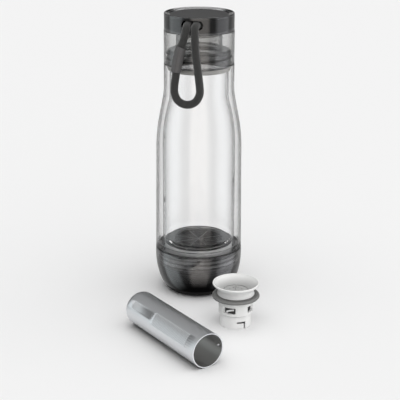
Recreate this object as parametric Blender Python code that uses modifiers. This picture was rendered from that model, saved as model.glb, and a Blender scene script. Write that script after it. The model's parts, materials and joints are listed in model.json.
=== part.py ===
"""Tea infuser bottle: a double-walled bottle with a glass core, a screw cap on a carry cord,
and its infuser tube and strainer funnel set out in front of it.

Metres, +Z up. The origin is the centre of the foot on the floor. The front is -Y: the cord
hangs there, and the infuser and the funnel stand there. Azimuths are measured from the front
and grow towards +X.
"""
from math import cos, pi, radians, sin, tan, tau

import bmesh
import bpy
from mathutils import Vector

# Fits
GAP = 0.0003                  # between pieces that seat on each other
OVERRUN = 0.002               # how far a cutter runs past what it cuts
MERGE = 0.00001               # points closer than this are one

# Facets
STEPS = 32                    # round the bottle
SMALL_STEPS = 24              # round the infuser and the funnel
CURVE_STEPS = 6               # along a shoulder or a bowl
FILLET_STEPS = 2
THREAD_STEPS = 32             # points in one turn of a thread
THREAD_BEVEL_STEPS = 1        # fineness round the section of a thread
CORD_BEVEL_STEPS = 3          # and round that of the cord
SEAL_STEPS = 8                # round the section of the base seal
SHARP_ANGLE = radians(35)

# Threads
THREAD_HEIGHT = 0.0009        # from the wall to the crest
THREAD_FIT = 0.0004           # from a crest to the bore that it turns in
BASE_PITCH = 0.0037
BASE_MALE_TURNS = 2.75
BASE_FEMALE_TURNS = 1.25
CAP_PITCH = 0.0050
CAP_MALE_TURNS = 1.25

# Glass core
GLASS_R = 0.0318
GLASS_WALL = 0.0020
GLASS_NECK_R = 0.0254
GLASS_HEEL = 0.0050
GLASS_LIP = 0.0006
GLASS_BODY_HEIGHT = 0.0858
GLASS_SHOULDER_HEIGHT = 0.0480
GLASS_NECK_HEIGHT = 0.0205
GLASS_LOW_HANDLE_SHARE = 0.62
GLASS_TOP_HANDLE_SHARE = 0.21

# Outer shell
AIR_GAP = 0.0037              # between the glass and the shell at the shoulder
SHELL_WALL = 0.0018
SHELL_DRAFT = 0.0009          # how much wider the shell is at its seam than at its shoulder
SHELL_SHOULDER_LEAD = 0.0010  # its shoulder starts this far under that of the glass
SHELL_SHOULDER_LAG = 0.0070   # and ends this far above it
SHELL_LOW_HANDLE_SHARE = 0.47
SHELL_TOP_HANDLE_SHARE = 0.27
SHELL_FLANGE = 0.0022
SKIRT_WALL = 0.0021
SKIRT_DEPTH = 0.0155

# Base cup, foot and core seat
CUP_HEIGHT = 0.0397           # underside to rim
CUP_FLOOR = 0.0022
CUP_WALL = 0.0026
CUP_RIM_WALL = 0.0020
CUP_PROUD = 0.0001            # how far the rim stands outside the shell
CUP_BULGE = 0.0001            # how much wider the cup is under its rim
CUP_BULGE_DROP = 0.0065
CUP_LAND = 0.0025             # width of the ring round the foot pad
CUP_SIDE_HANDLE_SHARE = 0.58
CUP_HEEL_HANDLE_SHARE = 0.40
CUP_REBATE_DEPTH = 0.0021
CUP_REBATE_REACH = 0.0008
CUP_SHOULDER = 0.0007         # from the skirt's lower edge to the step in the cup
PAD_R = 0.0230
PAD_THICK = 0.0026
PAD_EDGE = 0.0006
PAD_PROUD = 0.0008
SEAT_INSET = 0.0019           # the drum's radius is this much less than that of the glass
SEAT_HEIGHT = 0.0393
SEAT_TAPER_HEIGHT = 0.0080
SEAT_TAPER = 0.0036
SEAT_WALL = 0.0018
SEAT_EDGE = 0.0008
SEAT_HUB_R = 0.0070
SEAT_RIB = 0.0012
SEAT_RIB_DEPTH = 0.0060
SEAT_RIBS = 8
CUSHION_WIDTH = 0.0060
CUSHION_THICK = 0.0009
SEAL_CORD_R = 0.0008

# Neck collar, gasket and spout
GASKET_HEIGHT = 0.0039
GASKET_TAPER = 0.0012
COLLAR_REACH = 0.0028         # from the glass neck out to the collar's flange
COLLAR_FLANGE = 0.0022
COLLAR_PROUD = 0.0007         # how far the flange stands above the shell
COLLAR_WALL = 0.0027
COLLAR_EDGE = 0.0020
COLLAR_DECK = 0.0024
COLLAR_LEDGE = 0.0010
SPOUT_LIFT = 0.0085           # from the collar's foot to the ledge under the spout
SPOUT_R = 0.0198
SPOUT_WALL = 0.0018
SPOUT_FLANGE = 0.0019
SPOUT_LIP = 0.0006

# Cap
CAP_FIT = 0.0005
CAP_WALL = 0.0015
CAP_SKIRT_HEIGHT = 0.0279
CAP_SKIRT_EDGE = 0.0006
CAP_STEP = 0.0002             # the smoke band is this much narrower than the skirt
CAP_BODY_HEIGHT = 0.0148
CAP_BODY_WALL = 0.0037
CAP_DECK = 0.0022
CAP_EDGE = 0.0010
CAP_LEDGE = 0.0010
DISC_HEIGHT = 0.0021
DISC_SUNK = 0.0001
DISC_PLATE = 0.0011
DISC_RIM = 0.0020
DISC_EDGE = 0.0003
CAP_SEAL_THICK = 0.0016
CAP_SEAL_LAP = 0.0015         # how far the seal reaches past the spout's wall, each way
WASHER_THICK = 0.0009
WASHER_LAP = 0.0010
POST_R = 0.0018
POST_OUT = 0.0170             # from the bottle's axis to the post
HOLE_AZIMUTH = radians(-12)
HOLE_WIDTH = 0.0185
HOLE_HEIGHT = 0.0078
HOLE_HEADROOM = 0.0002
HOLE_SIDE_FLAT = 0.0006       # straight part of the round ends of the hole
HOLE_CORNER_STEPS = 4

# Carry cord. Each point is (along, out, height): along the rim from the middle of the hole,
# out from the bottle's axis, and up from the floor.
CORD_R = 0.0034
CORD_STEP = 0.0044
CORD_END_ANGLES = (80, 60, 30)
SLEEVE_STEP = 0.0007          # how closely the sleeve's ends are found along the cord
SLEEVE_STRIDE = 6
SLEEVE_WALL = 0.0008
SLEEVE_FIT = 0.0003
SLEEVE_TOP = 0.2256
SLEEVE_BOTTOM = 0.2050
SWING_OUT = 0.0343
SWING_HEIGHT = 0.2412
ANCHOR_ROUTE = [
    (-0.0037, 0.0306, 0.2430), (-0.0038, 0.0270, 0.2431), (-0.0048, 0.0225, 0.2425),
    (-0.0056, 0.0180, 0.2420), (-0.0050, 0.0141, 0.2420), (-0.0028, 0.0121, 0.2420),
    (0.0000, 0.0114, 0.2420),
    (0.0028, 0.0121, 0.2420), (0.0050, 0.0141, 0.2420), (0.0056, 0.0180, 0.2420),
    (0.0048, 0.0225, 0.2425), (0.0038, 0.0270, 0.2431), (0.0037, 0.0306, 0.2430),
]
LOOP_ROUTE = [
    (-0.0037, 0.0343, 0.2412), (-0.0045, 0.0344, 0.2365), (-0.0064, 0.0343, 0.2300),
    (-0.0083, 0.0342, 0.2245), (-0.0103, 0.0342, 0.2170), (-0.0117, 0.0342, 0.2090),
    (-0.0126, 0.0343, 0.2010), (-0.0137, 0.0344, 0.1930), (-0.0136, 0.0346, 0.1870),
    (-0.0112, 0.0349, 0.1814), (-0.0071, 0.0351, 0.1784), (-0.0029, 0.0352, 0.1776),
    (0.0014, 0.0351, 0.1784), (0.0054, 0.0349, 0.1814), (0.0079, 0.0346, 0.1870),
    (0.0079, 0.0344, 0.1930), (0.0068, 0.0343, 0.2020), (0.0058, 0.0342, 0.2100),
    (0.0047, 0.0342, 0.2180), (0.0040, 0.0343, 0.2260), (0.0037, 0.0344, 0.2340),
    (0.0037, 0.0343, 0.2412),
]

# Infuser tube
TUBE_R = 0.0143
TUBE_LENGTH = 0.1027
TUBE_WALL = 0.0006
TUBE_HEEL = 0.0050
TUBE_LIP = 0.0002
TUBE_MOUTH_X = 0.0078
TUBE_MOUTH_Y = -0.1641
TUBE_HEADING = radians(-55.4)
PIN_R = 0.0008
PIN_REACH = 0.0015
PIN_SETBACK = 0.0045
PIN_STEPS = 10

# Strainer funnel
FUNNEL_X = 0.0315
FUNNEL_Y = -0.0818
SLEEVE_PLAY = 0.0003          # between the lower sleeve and the tube that it enters
BAYONET_WALL = 0.0009
BAYONET_LOWER_HEIGHT = 0.0115
BAYONET_UPPER_HEIGHT = 0.0112
WINDOW_BOTTOM = 0.0138
WINDOW_HEIGHT = 0.0054
WINDOW_ARC = radians(45)
WINDOW_AZIMUTH = radians(-24.5)
WINDOWS = 4
SLOT_WIDTH = 0.0017
SLOT_HEIGHT = 0.0065
SLOT_AZIMUTH = radians(33)
SLOT_ARC = radians(29)
SLOTS = 2
CUTTER_STEPS = 4
RING_R = 0.0200
RING_HEIGHT = 0.0040
RING_GROOVE = 0.0006
RING_EDGE = 0.0005
SPIGOT_DEPTH = 0.0073
SPIGOT_WALL = 0.0026
FUNNEL_HEIGHT = 0.0100
FUNNEL_LIP_R = 0.01955
FUNNEL_LIP = 0.0009
FUNNEL_NECK_R = 0.0150
FUNNEL_NECK_HEIGHT = 0.0032
FUNNEL_FLARE = 0.0007
FUNNEL_SEAT = 0.0013
FUNNEL_THROAT_HEIGHT = 0.0033
THROAT_LEDGE = 0.0008
STRAINER_THICK = 0.0014
STRAINER_HOLES = 8
STRAINER_HOLE_R = 0.0014
STRAINER_HOLE_STEPS = 8
STRAINER_POST_R = 0.0006
STRAINER_POST_HEIGHT = 0.0051

# Places up the bottle, from the floor
cup_floor_z = PAD_THICK + GAP + CUP_FLOOR
seam_z = PAD_PROUD + CUP_HEIGHT
seat_z = cup_floor_z + GAP
cushion_z = seat_z + SEAT_HEIGHT + GAP
glass_z = cushion_z + CUSHION_THICK + GAP
glass_shoulder_z = glass_z + GLASS_BODY_HEIGHT
glass_neck_z = glass_shoulder_z + GLASS_SHOULDER_HEIGHT
gasket_z = glass_neck_z + GLASS_NECK_HEIGHT + GAP
collar_z = gasket_z + GASKET_HEIGHT + GAP
spout_z = collar_z + SPOUT_LIFT + GAP
collar_deck_z = spout_z + SPOUT_FLANGE + GAP
collar_top_z = collar_deck_z + COLLAR_DECK
flange_z = seam_z + GAP
skirt_z = flange_z - SKIRT_DEPTH
shell_top_z = collar_z + COLLAR_FLANGE - COLLAR_PROUD
cap_skirt_z = shell_top_z + GAP
cap_z = cap_skirt_z + CAP_SKIRT_HEIGHT + GAP
cap_top_z = cap_z + CAP_BODY_HEIGHT
disc_z = cap_top_z - DISC_SUNK - DISC_HEIGHT
pocket_z = cap_z + CAP_DECK
washer_z = cap_z - GAP - WASHER_THICK
cap_seal_z = washer_z - GAP - CAP_SEAL_THICK
spout_top_z = cap_seal_z - GAP
hole_z = disc_z - GAP - HOLE_HEADROOM - HOLE_HEIGHT / 2

# Radii of the bottle, from the glass outwards
shoulder_r = GLASS_R + AIR_GAP + SHELL_WALL
seam_r = shoulder_r + SHELL_DRAFT
cup_bore_r = seam_r - CUP_RIM_WALL
skirt_r = cup_bore_r - THREAD_FIT - THREAD_HEIGHT
seat_r = GLASS_R - SEAT_INSET
flange_r = GLASS_NECK_R + COLLAR_REACH
collar_r = flange_r - THREAD_HEIGHT
neck_bore_r = flange_r + GAP
neck_r = neck_bore_r + SHELL_WALL
spout_slot_r = collar_r - COLLAR_WALL
cap_bore_r = flange_r + CAP_FIT
cap_skirt_r = cap_bore_r + CAP_WALL
cap_r = cap_skirt_r - CAP_STEP

# Radii and places of the funnel, from the tube that it locks into
bayonet_r = TUBE_R - TUBE_WALL - SLEEVE_PLAY
bayonet_bore_r = bayonet_r - BAYONET_WALL
bayonet_height = BAYONET_LOWER_HEIGHT + BAYONET_UPPER_HEIGHT
ring_z = bayonet_height + GAP
funnel_z = ring_z + RING_HEIGHT + GAP
spigot_r = bayonet_bore_r - GAP
funnel_bore_r = spigot_r - SPIGOT_WALL
throat_r = funnel_bore_r + THROAT_LEDGE


def clear_scene():
    for thing in list(bpy.data.objects):
        bpy.data.objects.remove(thing, do_unlink=True)


def new_collection(name):
    collection = bpy.data.collections.new(name)
    bpy.context.scene.collection.children.link(collection)
    return collection


def new_material(name, colour, roughness, metallic=0.0, transmission=0.0):
    material = bpy.data.materials.new(name)
    material.use_nodes = True
    shader = material.node_tree.nodes["Principled BSDF"]
    shader.inputs["Base Color"].default_value = (*colour, 1.0)
    shader.inputs["Roughness"].default_value = roughness
    shader.inputs["Metallic"].default_value = metallic
    shader.inputs["Transmission Weight"].default_value = transmission
    material.diffuse_color = (*colour, 1.0)
    return material


clear_scene()
parts = new_collection("tea_infuser_bottle")
cutters = new_collection("cutters")


def smoke(name):
    return new_material(name, (0.10, 0.10, 0.10), 0.12, transmission=0.6)


def clear(name):
    return new_material(name, (0.93, 0.95, 0.96), 0.04, transmission=1.0)


def rubber(name, colour):
    return new_material(name, colour, 0.7)


def white_plastic(name):
    return new_material(name, (0.85, 0.85, 0.84), 0.35)


def metal(name):
    return new_material(name, (0.66, 0.67, 0.68), 0.32, metallic=1.0)


def braid(name):
    return new_material(name, (0.035, 0.035, 0.033), 0.85)


def add_part(name, mesh, material, place=(0, 0, 0), parent=None):
    mesh.materials.append(material)
    part = bpy.data.objects.new(name, mesh)
    parts.objects.link(part)
    part.location = place
    part.parent = parent
    return part


def add_empty(name, place):
    """Parent of the pieces that move together, on their joint's axis."""
    empty = bpy.data.objects.new(name, None)
    parts.objects.link(empty)
    empty.location = place
    return empty


def add_cutter(name, mesh, place=(0, 0, 0), parent=None):
    cutter = bpy.data.objects.new(name, mesh)
    cutters.objects.link(cutter)
    cutter.location = place
    cutter.parent = parent
    cutter.hide_render = True
    cutter.display_type = "WIRE"
    return cutter


def combine(part, other, operation="DIFFERENCE"):
    modifier = part.modifiers.new(other.name, "BOOLEAN")
    modifier.operation = operation
    modifier.solver = "EXACT"
    modifier.object = other


def bezier(start, start_handle, end_handle, end, steps=CURVE_STEPS):
    """Points along a cubic curve in (radius, height), both ends included."""
    points = []
    for step in range(steps + 1):
        share = step / steps
        rest = 1 - share
        weights = (rest ** 3, 3 * rest ** 2 * share, 3 * rest * share ** 2, share ** 3)
        corners = (start, start_handle, end_handle, end)
        radius = sum(weight * corner[0] for weight, corner in zip(weights, corners))
        height = sum(weight * corner[1] for weight, corner in zip(weights, corners))
        points.append((radius, height))
    return points


def inset(points, wall):
    """The same line moved inwards by the wall, for a line that runs down an outer side."""
    moved = []
    last = len(points) - 1
    for index, point in enumerate(points):
        before = Vector(points[max(index - 1, 0)])
        after = Vector(points[min(index + 1, last)])
        along = (after - before).normalized()
        moved.append((point[0] + along.y * wall, point[1] - along.x * wall))
    return moved


def rounded(corners):
    """A closed outline through corners of (radius, height) or (radius, height, fillet)."""
    points = []
    count = len(corners)
    for index, item in enumerate(corners):
        corner = Vector(item[:2])
        fillet = item[2] if len(item) > 2 else 0
        if not fillet:
            points.append(tuple(corner))
            continue
        before = (Vector(corners[index - 1][:2]) - corner).normalized()
        after = (Vector(corners[(index + 1) % count][:2]) - corner).normalized()
        half = before.angle(after) / 2
        centre = corner + (before + after).normalized() * fillet / sin(half)
        start = corner + before * fillet / tan(half) - centre
        end = corner + after * fillet / tan(half) - centre
        for step in range(FILLET_STEPS + 1):
            towards = start.lerp(end, step / FILLET_STEPS).normalized()
            points.append(tuple(centre + towards * fillet))
    return points


def ring_outline(outer, inner, thickness):
    return [(outer, thickness), (outer, 0), (inner, 0), (inner, thickness)]


def turned_mesh(name, outline, solid):
    """An outline in (radius, height), left open at the axis if the piece is solid there."""
    mesh = bpy.data.meshes.new(name)
    last = len(outline) - 1
    edges = [(index, index + 1) for index in range(last)]
    if not solid:
        edges.append((last, 0))
    mesh.from_pydata([(radius, 0, height) for radius, height in outline], edges, [])
    return mesh


def turn(part, steps):
    screw = part.modifiers.new("Turn", "SCREW")
    screw.axis = "Z"
    screw.angle = tau
    screw.steps = steps
    screw.render_steps = steps
    screw.use_merge_vertices = True
    screw.merge_threshold = MERGE
    screw.use_smooth_shade = True


def turned(name, outline, material, height=0, solid=False, steps=STEPS, parent=None):
    mesh = turned_mesh(name, outline, solid)
    part = add_part(name, mesh, material, (0, 0, height), parent)
    turn(part, steps)
    return part


def tube_mesh(name, points, radius, bevel, shares=None, filled=True):
    """The mesh of a round bar along the points, which the shares narrow point by point."""
    curve = bpy.data.curves.new(name, "CURVE")
    curve.dimensions = "3D"
    curve.bevel_depth = radius
    curve.bevel_resolution = bevel
    curve.use_fill_caps = filled
    spline = curve.splines.new("POLY")
    spline.points.add(len(points) - 1)
    for index, point in enumerate(points):
        spline.points[index].co = (*point, 1)
        spline.points[index].radius = shares[index] if shares else 1
    bar = bpy.data.objects.new(name, curve)
    parts.objects.link(bar)
    bpy.context.view_layer.update()
    graph = bpy.context.evaluated_depsgraph_get()
    mesh = bpy.data.meshes.new_from_object(bar.evaluated_get(graph))
    bpy.data.objects.remove(bar)
    weld = bmesh.new()
    weld.from_mesh(mesh)
    bmesh.ops.remove_doubles(weld, verts=weld.verts, dist=MERGE)
    weld.to_mesh(mesh)
    weld.free()
    mesh.materials.clear()
    return mesh


def thread(name, part, radius, start, pitch, turns):
    """Fuses a right-handed ridge to a round wall of this radius, starting at a height."""
    points = []
    for step in range(round(turns * THREAD_STEPS) + 1):
        share = step / THREAD_STEPS
        place = (radius * cos(share * tau), radius * sin(share * tau), start + pitch * share)
        points.append(place)
    ridge = add_cutter(name, tube_mesh(name, points, THREAD_HEIGHT, THREAD_BEVEL_STEPS))
    combine(part, ridge, "UNION")


def box_mesh(name, width, depth, height):
    mesh = bpy.data.meshes.new(name)
    build = bmesh.new()
    bmesh.ops.create_cube(build, size=1)
    bmesh.ops.scale(build, vec=(width, depth, height), verts=build.verts)
    build.to_mesh(mesh)
    build.free()
    return mesh


def cylinder_mesh(name, radius, height, steps):
    """An upright cylinder that stands on its own origin."""
    mesh = bpy.data.meshes.new(name)
    build = bmesh.new()
    bmesh.ops.create_cone(build, cap_ends=True, segments=steps,
                          radius1=radius, radius2=radius, depth=height)
    bmesh.ops.translate(build, vec=(0, 0, height / 2), verts=build.verts)
    build.to_mesh(mesh)
    build.free()
    return mesh


def arc_block_mesh(name, inner, outer, azimuth, arc, bottom, height):
    """A block bent round the axis, from its azimuth over its arc, between two radii."""
    mesh = bpy.data.meshes.new(name)
    build = bmesh.new()
    bmesh.ops.create_cube(build, size=1)
    long_edges = [edge for edge in build.edges
                  if abs(edge.verts[0].co.x - edge.verts[1].co.x) > 0.5]
    bmesh.ops.subdivide_edges(build, edges=long_edges, cuts=CUTTER_STEPS, use_grid_fill=True)
    for corner in build.verts:
        angle = azimuth + arc * (corner.co.x + 0.5) - pi / 2
        radius = outer - (outer - inner) * (corner.co.y + 0.5)
        level = bottom + height * (corner.co.z + 0.5)
        corner.co = (radius * cos(angle), radius * sin(angle), level)
    build.to_mesh(mesh)
    build.free()
    return mesh


def settle(part):
    """Keeps the part's shape as its mesh, smooth but for its sharp edges."""
    graph = bpy.context.evaluated_depsgraph_get()
    mesh = bpy.data.meshes.new_from_object(part.evaluated_get(graph))
    mesh.name = part.name
    part.modifiers.clear()
    part.data = mesh
    mesh.shade_smooth()
    mesh.set_sharp_from_angle(angle=SHARP_ANGLE)


# Base

def cup_outline():
    underside = PAD_PROUD
    rim_r = seam_r + CUP_PROUD
    widest_r = rim_r + CUP_BULGE
    widest_z = seam_z - CUP_BULGE_DROP
    heel_r = PAD_R + GAP + CUP_LAND
    side_handle = widest_z - (widest_z - underside) * CUP_SIDE_HANDLE_SHARE
    heel_handle = heel_r + (widest_r - heel_r) * CUP_HEEL_HANDLE_SHARE
    side = bezier((widest_r, widest_z), (widest_r, side_handle),
                  (heel_handle, underside), (heel_r, underside), CURVE_STEPS + 2)
    step_z = skirt_z - CUP_SHOULDER
    bowl = [point for point in reversed(inset(side, CUP_WALL))
            if cup_floor_z < point[1] < step_z - CUP_SHOULDER]
    rebate_r = cup_bore_r + CUP_REBATE_REACH
    rebate_z = seam_z - CUP_REBATE_DEPTH
    pocket_r = PAD_R + GAP
    return [
        (0, cup_floor_z),
        (bowl[0][0] - CUP_SHOULDER, cup_floor_z),
        *bowl,
        (bowl[-1][0], step_z),
        (cup_bore_r, step_z),
        (cup_bore_r, rebate_z),
        (rebate_r, rebate_z),
        (rebate_r, seam_z),
        (rim_r, seam_z),
        *side,
        (pocket_r, underside),
        (pocket_r, PAD_THICK + GAP),
        (0, PAD_THICK + GAP),
    ]


def make_base():
    cup = turned("base_cup", cup_outline(), smoke("base_smoke"), solid=True)
    lowest = skirt_z + THREAD_HEIGHT
    thread("cup_thread", cup, cup_bore_r, lowest + BASE_PITCH / 2, BASE_PITCH,
           BASE_FEMALE_TURNS)

    pad = rounded([(0, PAD_THICK), (PAD_R, PAD_THICK), (PAD_R, 0, PAD_EDGE), (0, 0)])
    turned("foot_pad", pad, rubber("foot_black", (0.02, 0.02, 0.02)), solid=True)

    foot_r = seat_r - SEAT_TAPER
    drum = rounded([
        (0, SEAT_HEIGHT),
        (seat_r, SEAT_HEIGHT, SEAT_EDGE),
        (seat_r, SEAT_TAPER_HEIGHT),
        (foot_r, 0),
        (foot_r - SEAT_WALL, 0),
        (seat_r - SEAT_WALL, SEAT_TAPER_HEIGHT),
        (seat_r - SEAT_WALL, SEAT_HEIGHT - SEAT_WALL),
        (0, SEAT_HEIGHT - SEAT_WALL),
    ])
    seat = turned("core_seat", drum, smoke("seat_smoke"), seat_z, solid=True)
    deck_z = seat_z + SEAT_HEIGHT - SEAT_WALL
    hub = cylinder_mesh("seat_hub", SEAT_HUB_R, SEAT_RIB_DEPTH + SEAT_WALL / 2, SMALL_STEPS)
    combine(seat, add_cutter("seat_hub", hub, (0, 0, deck_z - SEAT_RIB_DEPTH)), "UNION")
    rib_length = 2 * (seat_r - SEAT_WALL / 2)
    for index in range(SEAT_RIBS // 2):
        name = f"seat_rib_{index}"
        block = box_mesh(name, rib_length, SEAT_RIB, SEAT_RIB_DEPTH + SEAT_WALL)
        rib = add_cutter(name, block, (0, 0, deck_z - SEAT_RIB_DEPTH / 2))
        rib.rotation_euler.z = index * tau / SEAT_RIBS
        combine(seat, rib, "UNION")

    cushion_r = seat_r - GLASS_HEEL / 2
    cushion = ring_outline(cushion_r, cushion_r - CUSHION_WIDTH, CUSHION_THICK)
    turned("core_cushion", cushion, rubber("cushion_grey", (0.6, 0.6, 0.6)), cushion_z)

    ring_r = skirt_r + GAP + SEAL_CORD_R
    ring = []
    for step in range(SEAL_STEPS):
        angle = pi / 2 - step * tau / SEAL_STEPS
        ring.append((ring_r + SEAL_CORD_R * cos(angle), SEAL_CORD_R * sin(angle)))
    seal_z = seam_z - CUP_REBATE_DEPTH + GAP + SEAL_CORD_R
    turned("base_seal", ring, rubber("seal_grey", (0.25, 0.25, 0.25)), seal_z)


# Shell

def make_shell():
    shoulder_z = glass_shoulder_z - SHELL_SHOULDER_LEAD
    neck_z = glass_neck_z + SHELL_SHOULDER_LAG
    rise = neck_z - shoulder_z
    outside = bezier((neck_r, neck_z), (neck_r, neck_z - rise * SHELL_TOP_HANDLE_SHARE),
                     (shoulder_r, shoulder_z + rise * SHELL_LOW_HANDLE_SHARE),
                     (shoulder_r, shoulder_z))
    inside = list(reversed(inset(outside, SHELL_WALL)))
    skirt_bore_r = skirt_r - SKIRT_WALL
    outline = [
        (neck_r, shell_top_z),
        *outside,
        (seam_r, flange_z),
        (skirt_r, flange_z),
        (skirt_r, skirt_z),
        (skirt_bore_r, skirt_z),
        (skirt_bore_r, flange_z + SHELL_FLANGE),
        (seam_r - SHELL_WALL, flange_z + 2 * SHELL_FLANGE),
        *inside,
        (neck_bore_r, shell_top_z),
    ]
    shell = turned("outer_shell", outline, clear("shell_clear"))
    thread("shell_thread", shell, skirt_r, skirt_z + THREAD_HEIGHT, BASE_PITCH,
           BASE_MALE_TURNS)

    top = GLASS_BODY_HEIGHT + GLASS_SHOULDER_HEIGHT
    mouth = top + GLASS_NECK_HEIGHT
    outside = bezier((GLASS_NECK_R, top),
                     (GLASS_NECK_R, top - GLASS_SHOULDER_HEIGHT * GLASS_TOP_HANDLE_SHARE),
                     (GLASS_R, GLASS_BODY_HEIGHT
                      + GLASS_SHOULDER_HEIGHT * GLASS_LOW_HANDLE_SHARE),
                     (GLASS_R, GLASS_BODY_HEIGHT))
    inside = list(reversed(inset(outside, GLASS_WALL)))
    core = rounded([
        (0, GLASS_WALL),
        (GLASS_R - GLASS_WALL, GLASS_WALL, GLASS_HEEL - GLASS_WALL),
        *inside,
        (GLASS_NECK_R - GLASS_WALL, mouth, GLASS_LIP),
        (GLASS_NECK_R, mouth, GLASS_LIP),
        *outside,
        (GLASS_R, 0, GLASS_HEEL),
        (0, 0),
    ])
    turned("glass_core", core, clear("core_glass"), glass_z, solid=True)

    foot_bore_r = spout_slot_r - COLLAR_LEDGE
    flange_top = collar_z + COLLAR_FLANGE
    collar = rounded([
        (SPOUT_R + GAP, collar_top_z),
        (collar_r, collar_top_z, COLLAR_EDGE),
        (collar_r, flange_top),
        (flange_r, flange_top),
        (flange_r, collar_z),
        (foot_bore_r, collar_z),
        (foot_bore_r, collar_z + SPOUT_LIFT),
        (spout_slot_r, collar_z + SPOUT_LIFT),
        (spout_slot_r, collar_deck_z),
        (SPOUT_R + GAP, collar_deck_z),
    ])
    collar_part = turned("neck_collar", collar, smoke("collar_smoke"))
    thread("collar_thread", collar_part, collar_r, flange_top + THREAD_HEIGHT, CAP_PITCH,
           CAP_MALE_TURNS)

    gasket_r = flange_r - GAP
    gasket = [(gasket_r, GASKET_HEIGHT), (gasket_r - GASKET_TAPER, 0),
              (foot_bore_r, 0), (foot_bore_r, GASKET_HEIGHT)]
    turned("collar_gasket", gasket, rubber("gasket_grey", (0.55, 0.55, 0.53)), gasket_z)

    spout_height = spout_top_z - spout_z
    spout_bore_r = SPOUT_R - SPOUT_WALL
    spout = rounded([
        (SPOUT_R, spout_height, SPOUT_LIP),
        (SPOUT_R, SPOUT_FLANGE),
        (spout_slot_r - GAP, SPOUT_FLANGE),
        (spout_slot_r - GAP, 0),
        (spout_bore_r, 0),
        (spout_bore_r, spout_height, SPOUT_LIP),
    ])
    turned("spout", spout, clear("spout_clear"), spout_z)


# Cap

def hole_mesh(name, length):
    """A bar with round ends across its width, along Y, that cuts the cord's hole."""
    mesh = bpy.data.meshes.new(name)
    build = bmesh.new()
    bmesh.ops.create_cube(build, size=1)
    bmesh.ops.scale(build, vec=(HOLE_WIDTH, length, HOLE_HEIGHT), verts=build.verts)
    long_edges = [edge for edge in build.edges
                  if abs(edge.verts[0].co.y - edge.verts[1].co.y) > length / 2]
    bmesh.ops.bevel(build, geom=long_edges, offset=(HOLE_HEIGHT - HOLE_SIDE_FLAT) / 2,
                    profile=0.5, segments=HOLE_CORNER_STEPS, affect="EDGES")
    build.to_mesh(mesh)
    build.free()
    return mesh


def at_hole(along, out, height):
    """A place in the world from one given along the rim, out from the axis and up."""
    outwards = Vector((sin(HOLE_AZIMUTH), -cos(HOLE_AZIMUTH), 0))
    sideways = Vector((cos(HOLE_AZIMUTH), sin(HOLE_AZIMUTH), 0))
    return sideways * along + outwards * out + Vector((0, 0, height))


def make_cap():
    spout_bore_r = SPOUT_R - SPOUT_WALL
    seal = ring_outline(SPOUT_R + CAP_SEAL_LAP, spout_bore_r - CAP_SEAL_LAP, CAP_SEAL_THICK)
    turned("cap_seal", seal, rubber("cap_seal_grey", (0.4, 0.4, 0.4)), cap_seal_z)
    washer = ring_outline(SPOUT_R + WASHER_LAP, spout_bore_r - WASHER_LAP, WASHER_THICK)
    turned("slip_washer", washer, white_plastic("washer_white"), washer_z)

    pocket_r = cap_r - CAP_BODY_WALL
    ledge_r = pocket_r + CAP_LEDGE
    body = rounded([
        (0, pocket_z),
        (pocket_r, pocket_z),
        (pocket_r, disc_z - GAP),
        (ledge_r, disc_z - GAP),
        (ledge_r, cap_top_z),
        (cap_r, cap_top_z, CAP_EDGE),
        (cap_r, cap_z),
        (0, cap_z),
    ])
    cap = turned("cap_body", body, smoke("cap_smoke"), solid=True)
    hole_length = CAP_BODY_WALL + 2 * OVERRUN
    hole = add_cutter("cord_hole", hole_mesh("cord_hole", hole_length),
                      at_hole(0, cap_r - CAP_BODY_WALL / 2, hole_z))
    hole.rotation_euler.z = HOLE_AZIMUTH
    combine(cap, hole)

    skirt = rounded([
        (cap_skirt_r, CAP_SKIRT_HEIGHT),
        (cap_skirt_r, 0, CAP_SKIRT_EDGE),
        (cap_bore_r, 0),
        (cap_bore_r, CAP_SKIRT_HEIGHT),
    ])
    turned("cap_skirt", skirt, clear("skirt_clear"), cap_skirt_z)

    disc_r = ledge_r - GAP
    dish_r = disc_r - DISC_RIM
    disc = rounded([
        (0, DISC_PLATE),
        (dish_r, DISC_PLATE),
        (dish_r, DISC_HEIGHT, DISC_EDGE),
        (disc_r, DISC_HEIGHT, DISC_EDGE),
        (disc_r, 0),
        (0, 0),
    ])
    turned("cap_top_disc", disc, smoke("disc_smoke"), disc_z, solid=True)

    post_height = disc_z - pocket_z - 2 * GAP
    add_part("cord_post", cylinder_mesh("cord_post", POST_R, post_height, SMALL_STEPS // 2),
             metal("post_steel"), at_hole(0, POST_OUT, pocket_z + GAP))


# Carry cord

def smooth_route(points, spacing):
    """Points about a spacing apart on a smooth curve through the route's own points."""
    places = [Vector(point) for point in points]
    route = []
    for index in range(len(places) - 1):
        start, end = places[index], places[index + 1]
        before = places[index - 1] if index else start * 2 - end
        after = places[index + 2] if index + 2 < len(places) else end * 2 - start
        count = max(1, round((end - start).length / spacing))
        for step in range(count):
            share = step / count
            bend = (start * 2 + (end - before) * share
                    + (before * 2 - start * 5 + end * 4 - after) * share ** 2
                    + (start * 3 - before - end * 3 + after) * share ** 3)
            route.append(bend / 2)
    route.append(places[-1])
    return route


def rounded_end(start, towards):
    """Points and radius shares that close a bar at its start with half a ball."""
    outwards = (start - towards).normalized()
    points = []
    shares = []
    for angle in CORD_END_ANGLES:
        points.append(start + outwards * CORD_R * sin(radians(angle)))
        shares.append(cos(radians(angle)))
    return points, shares


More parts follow.
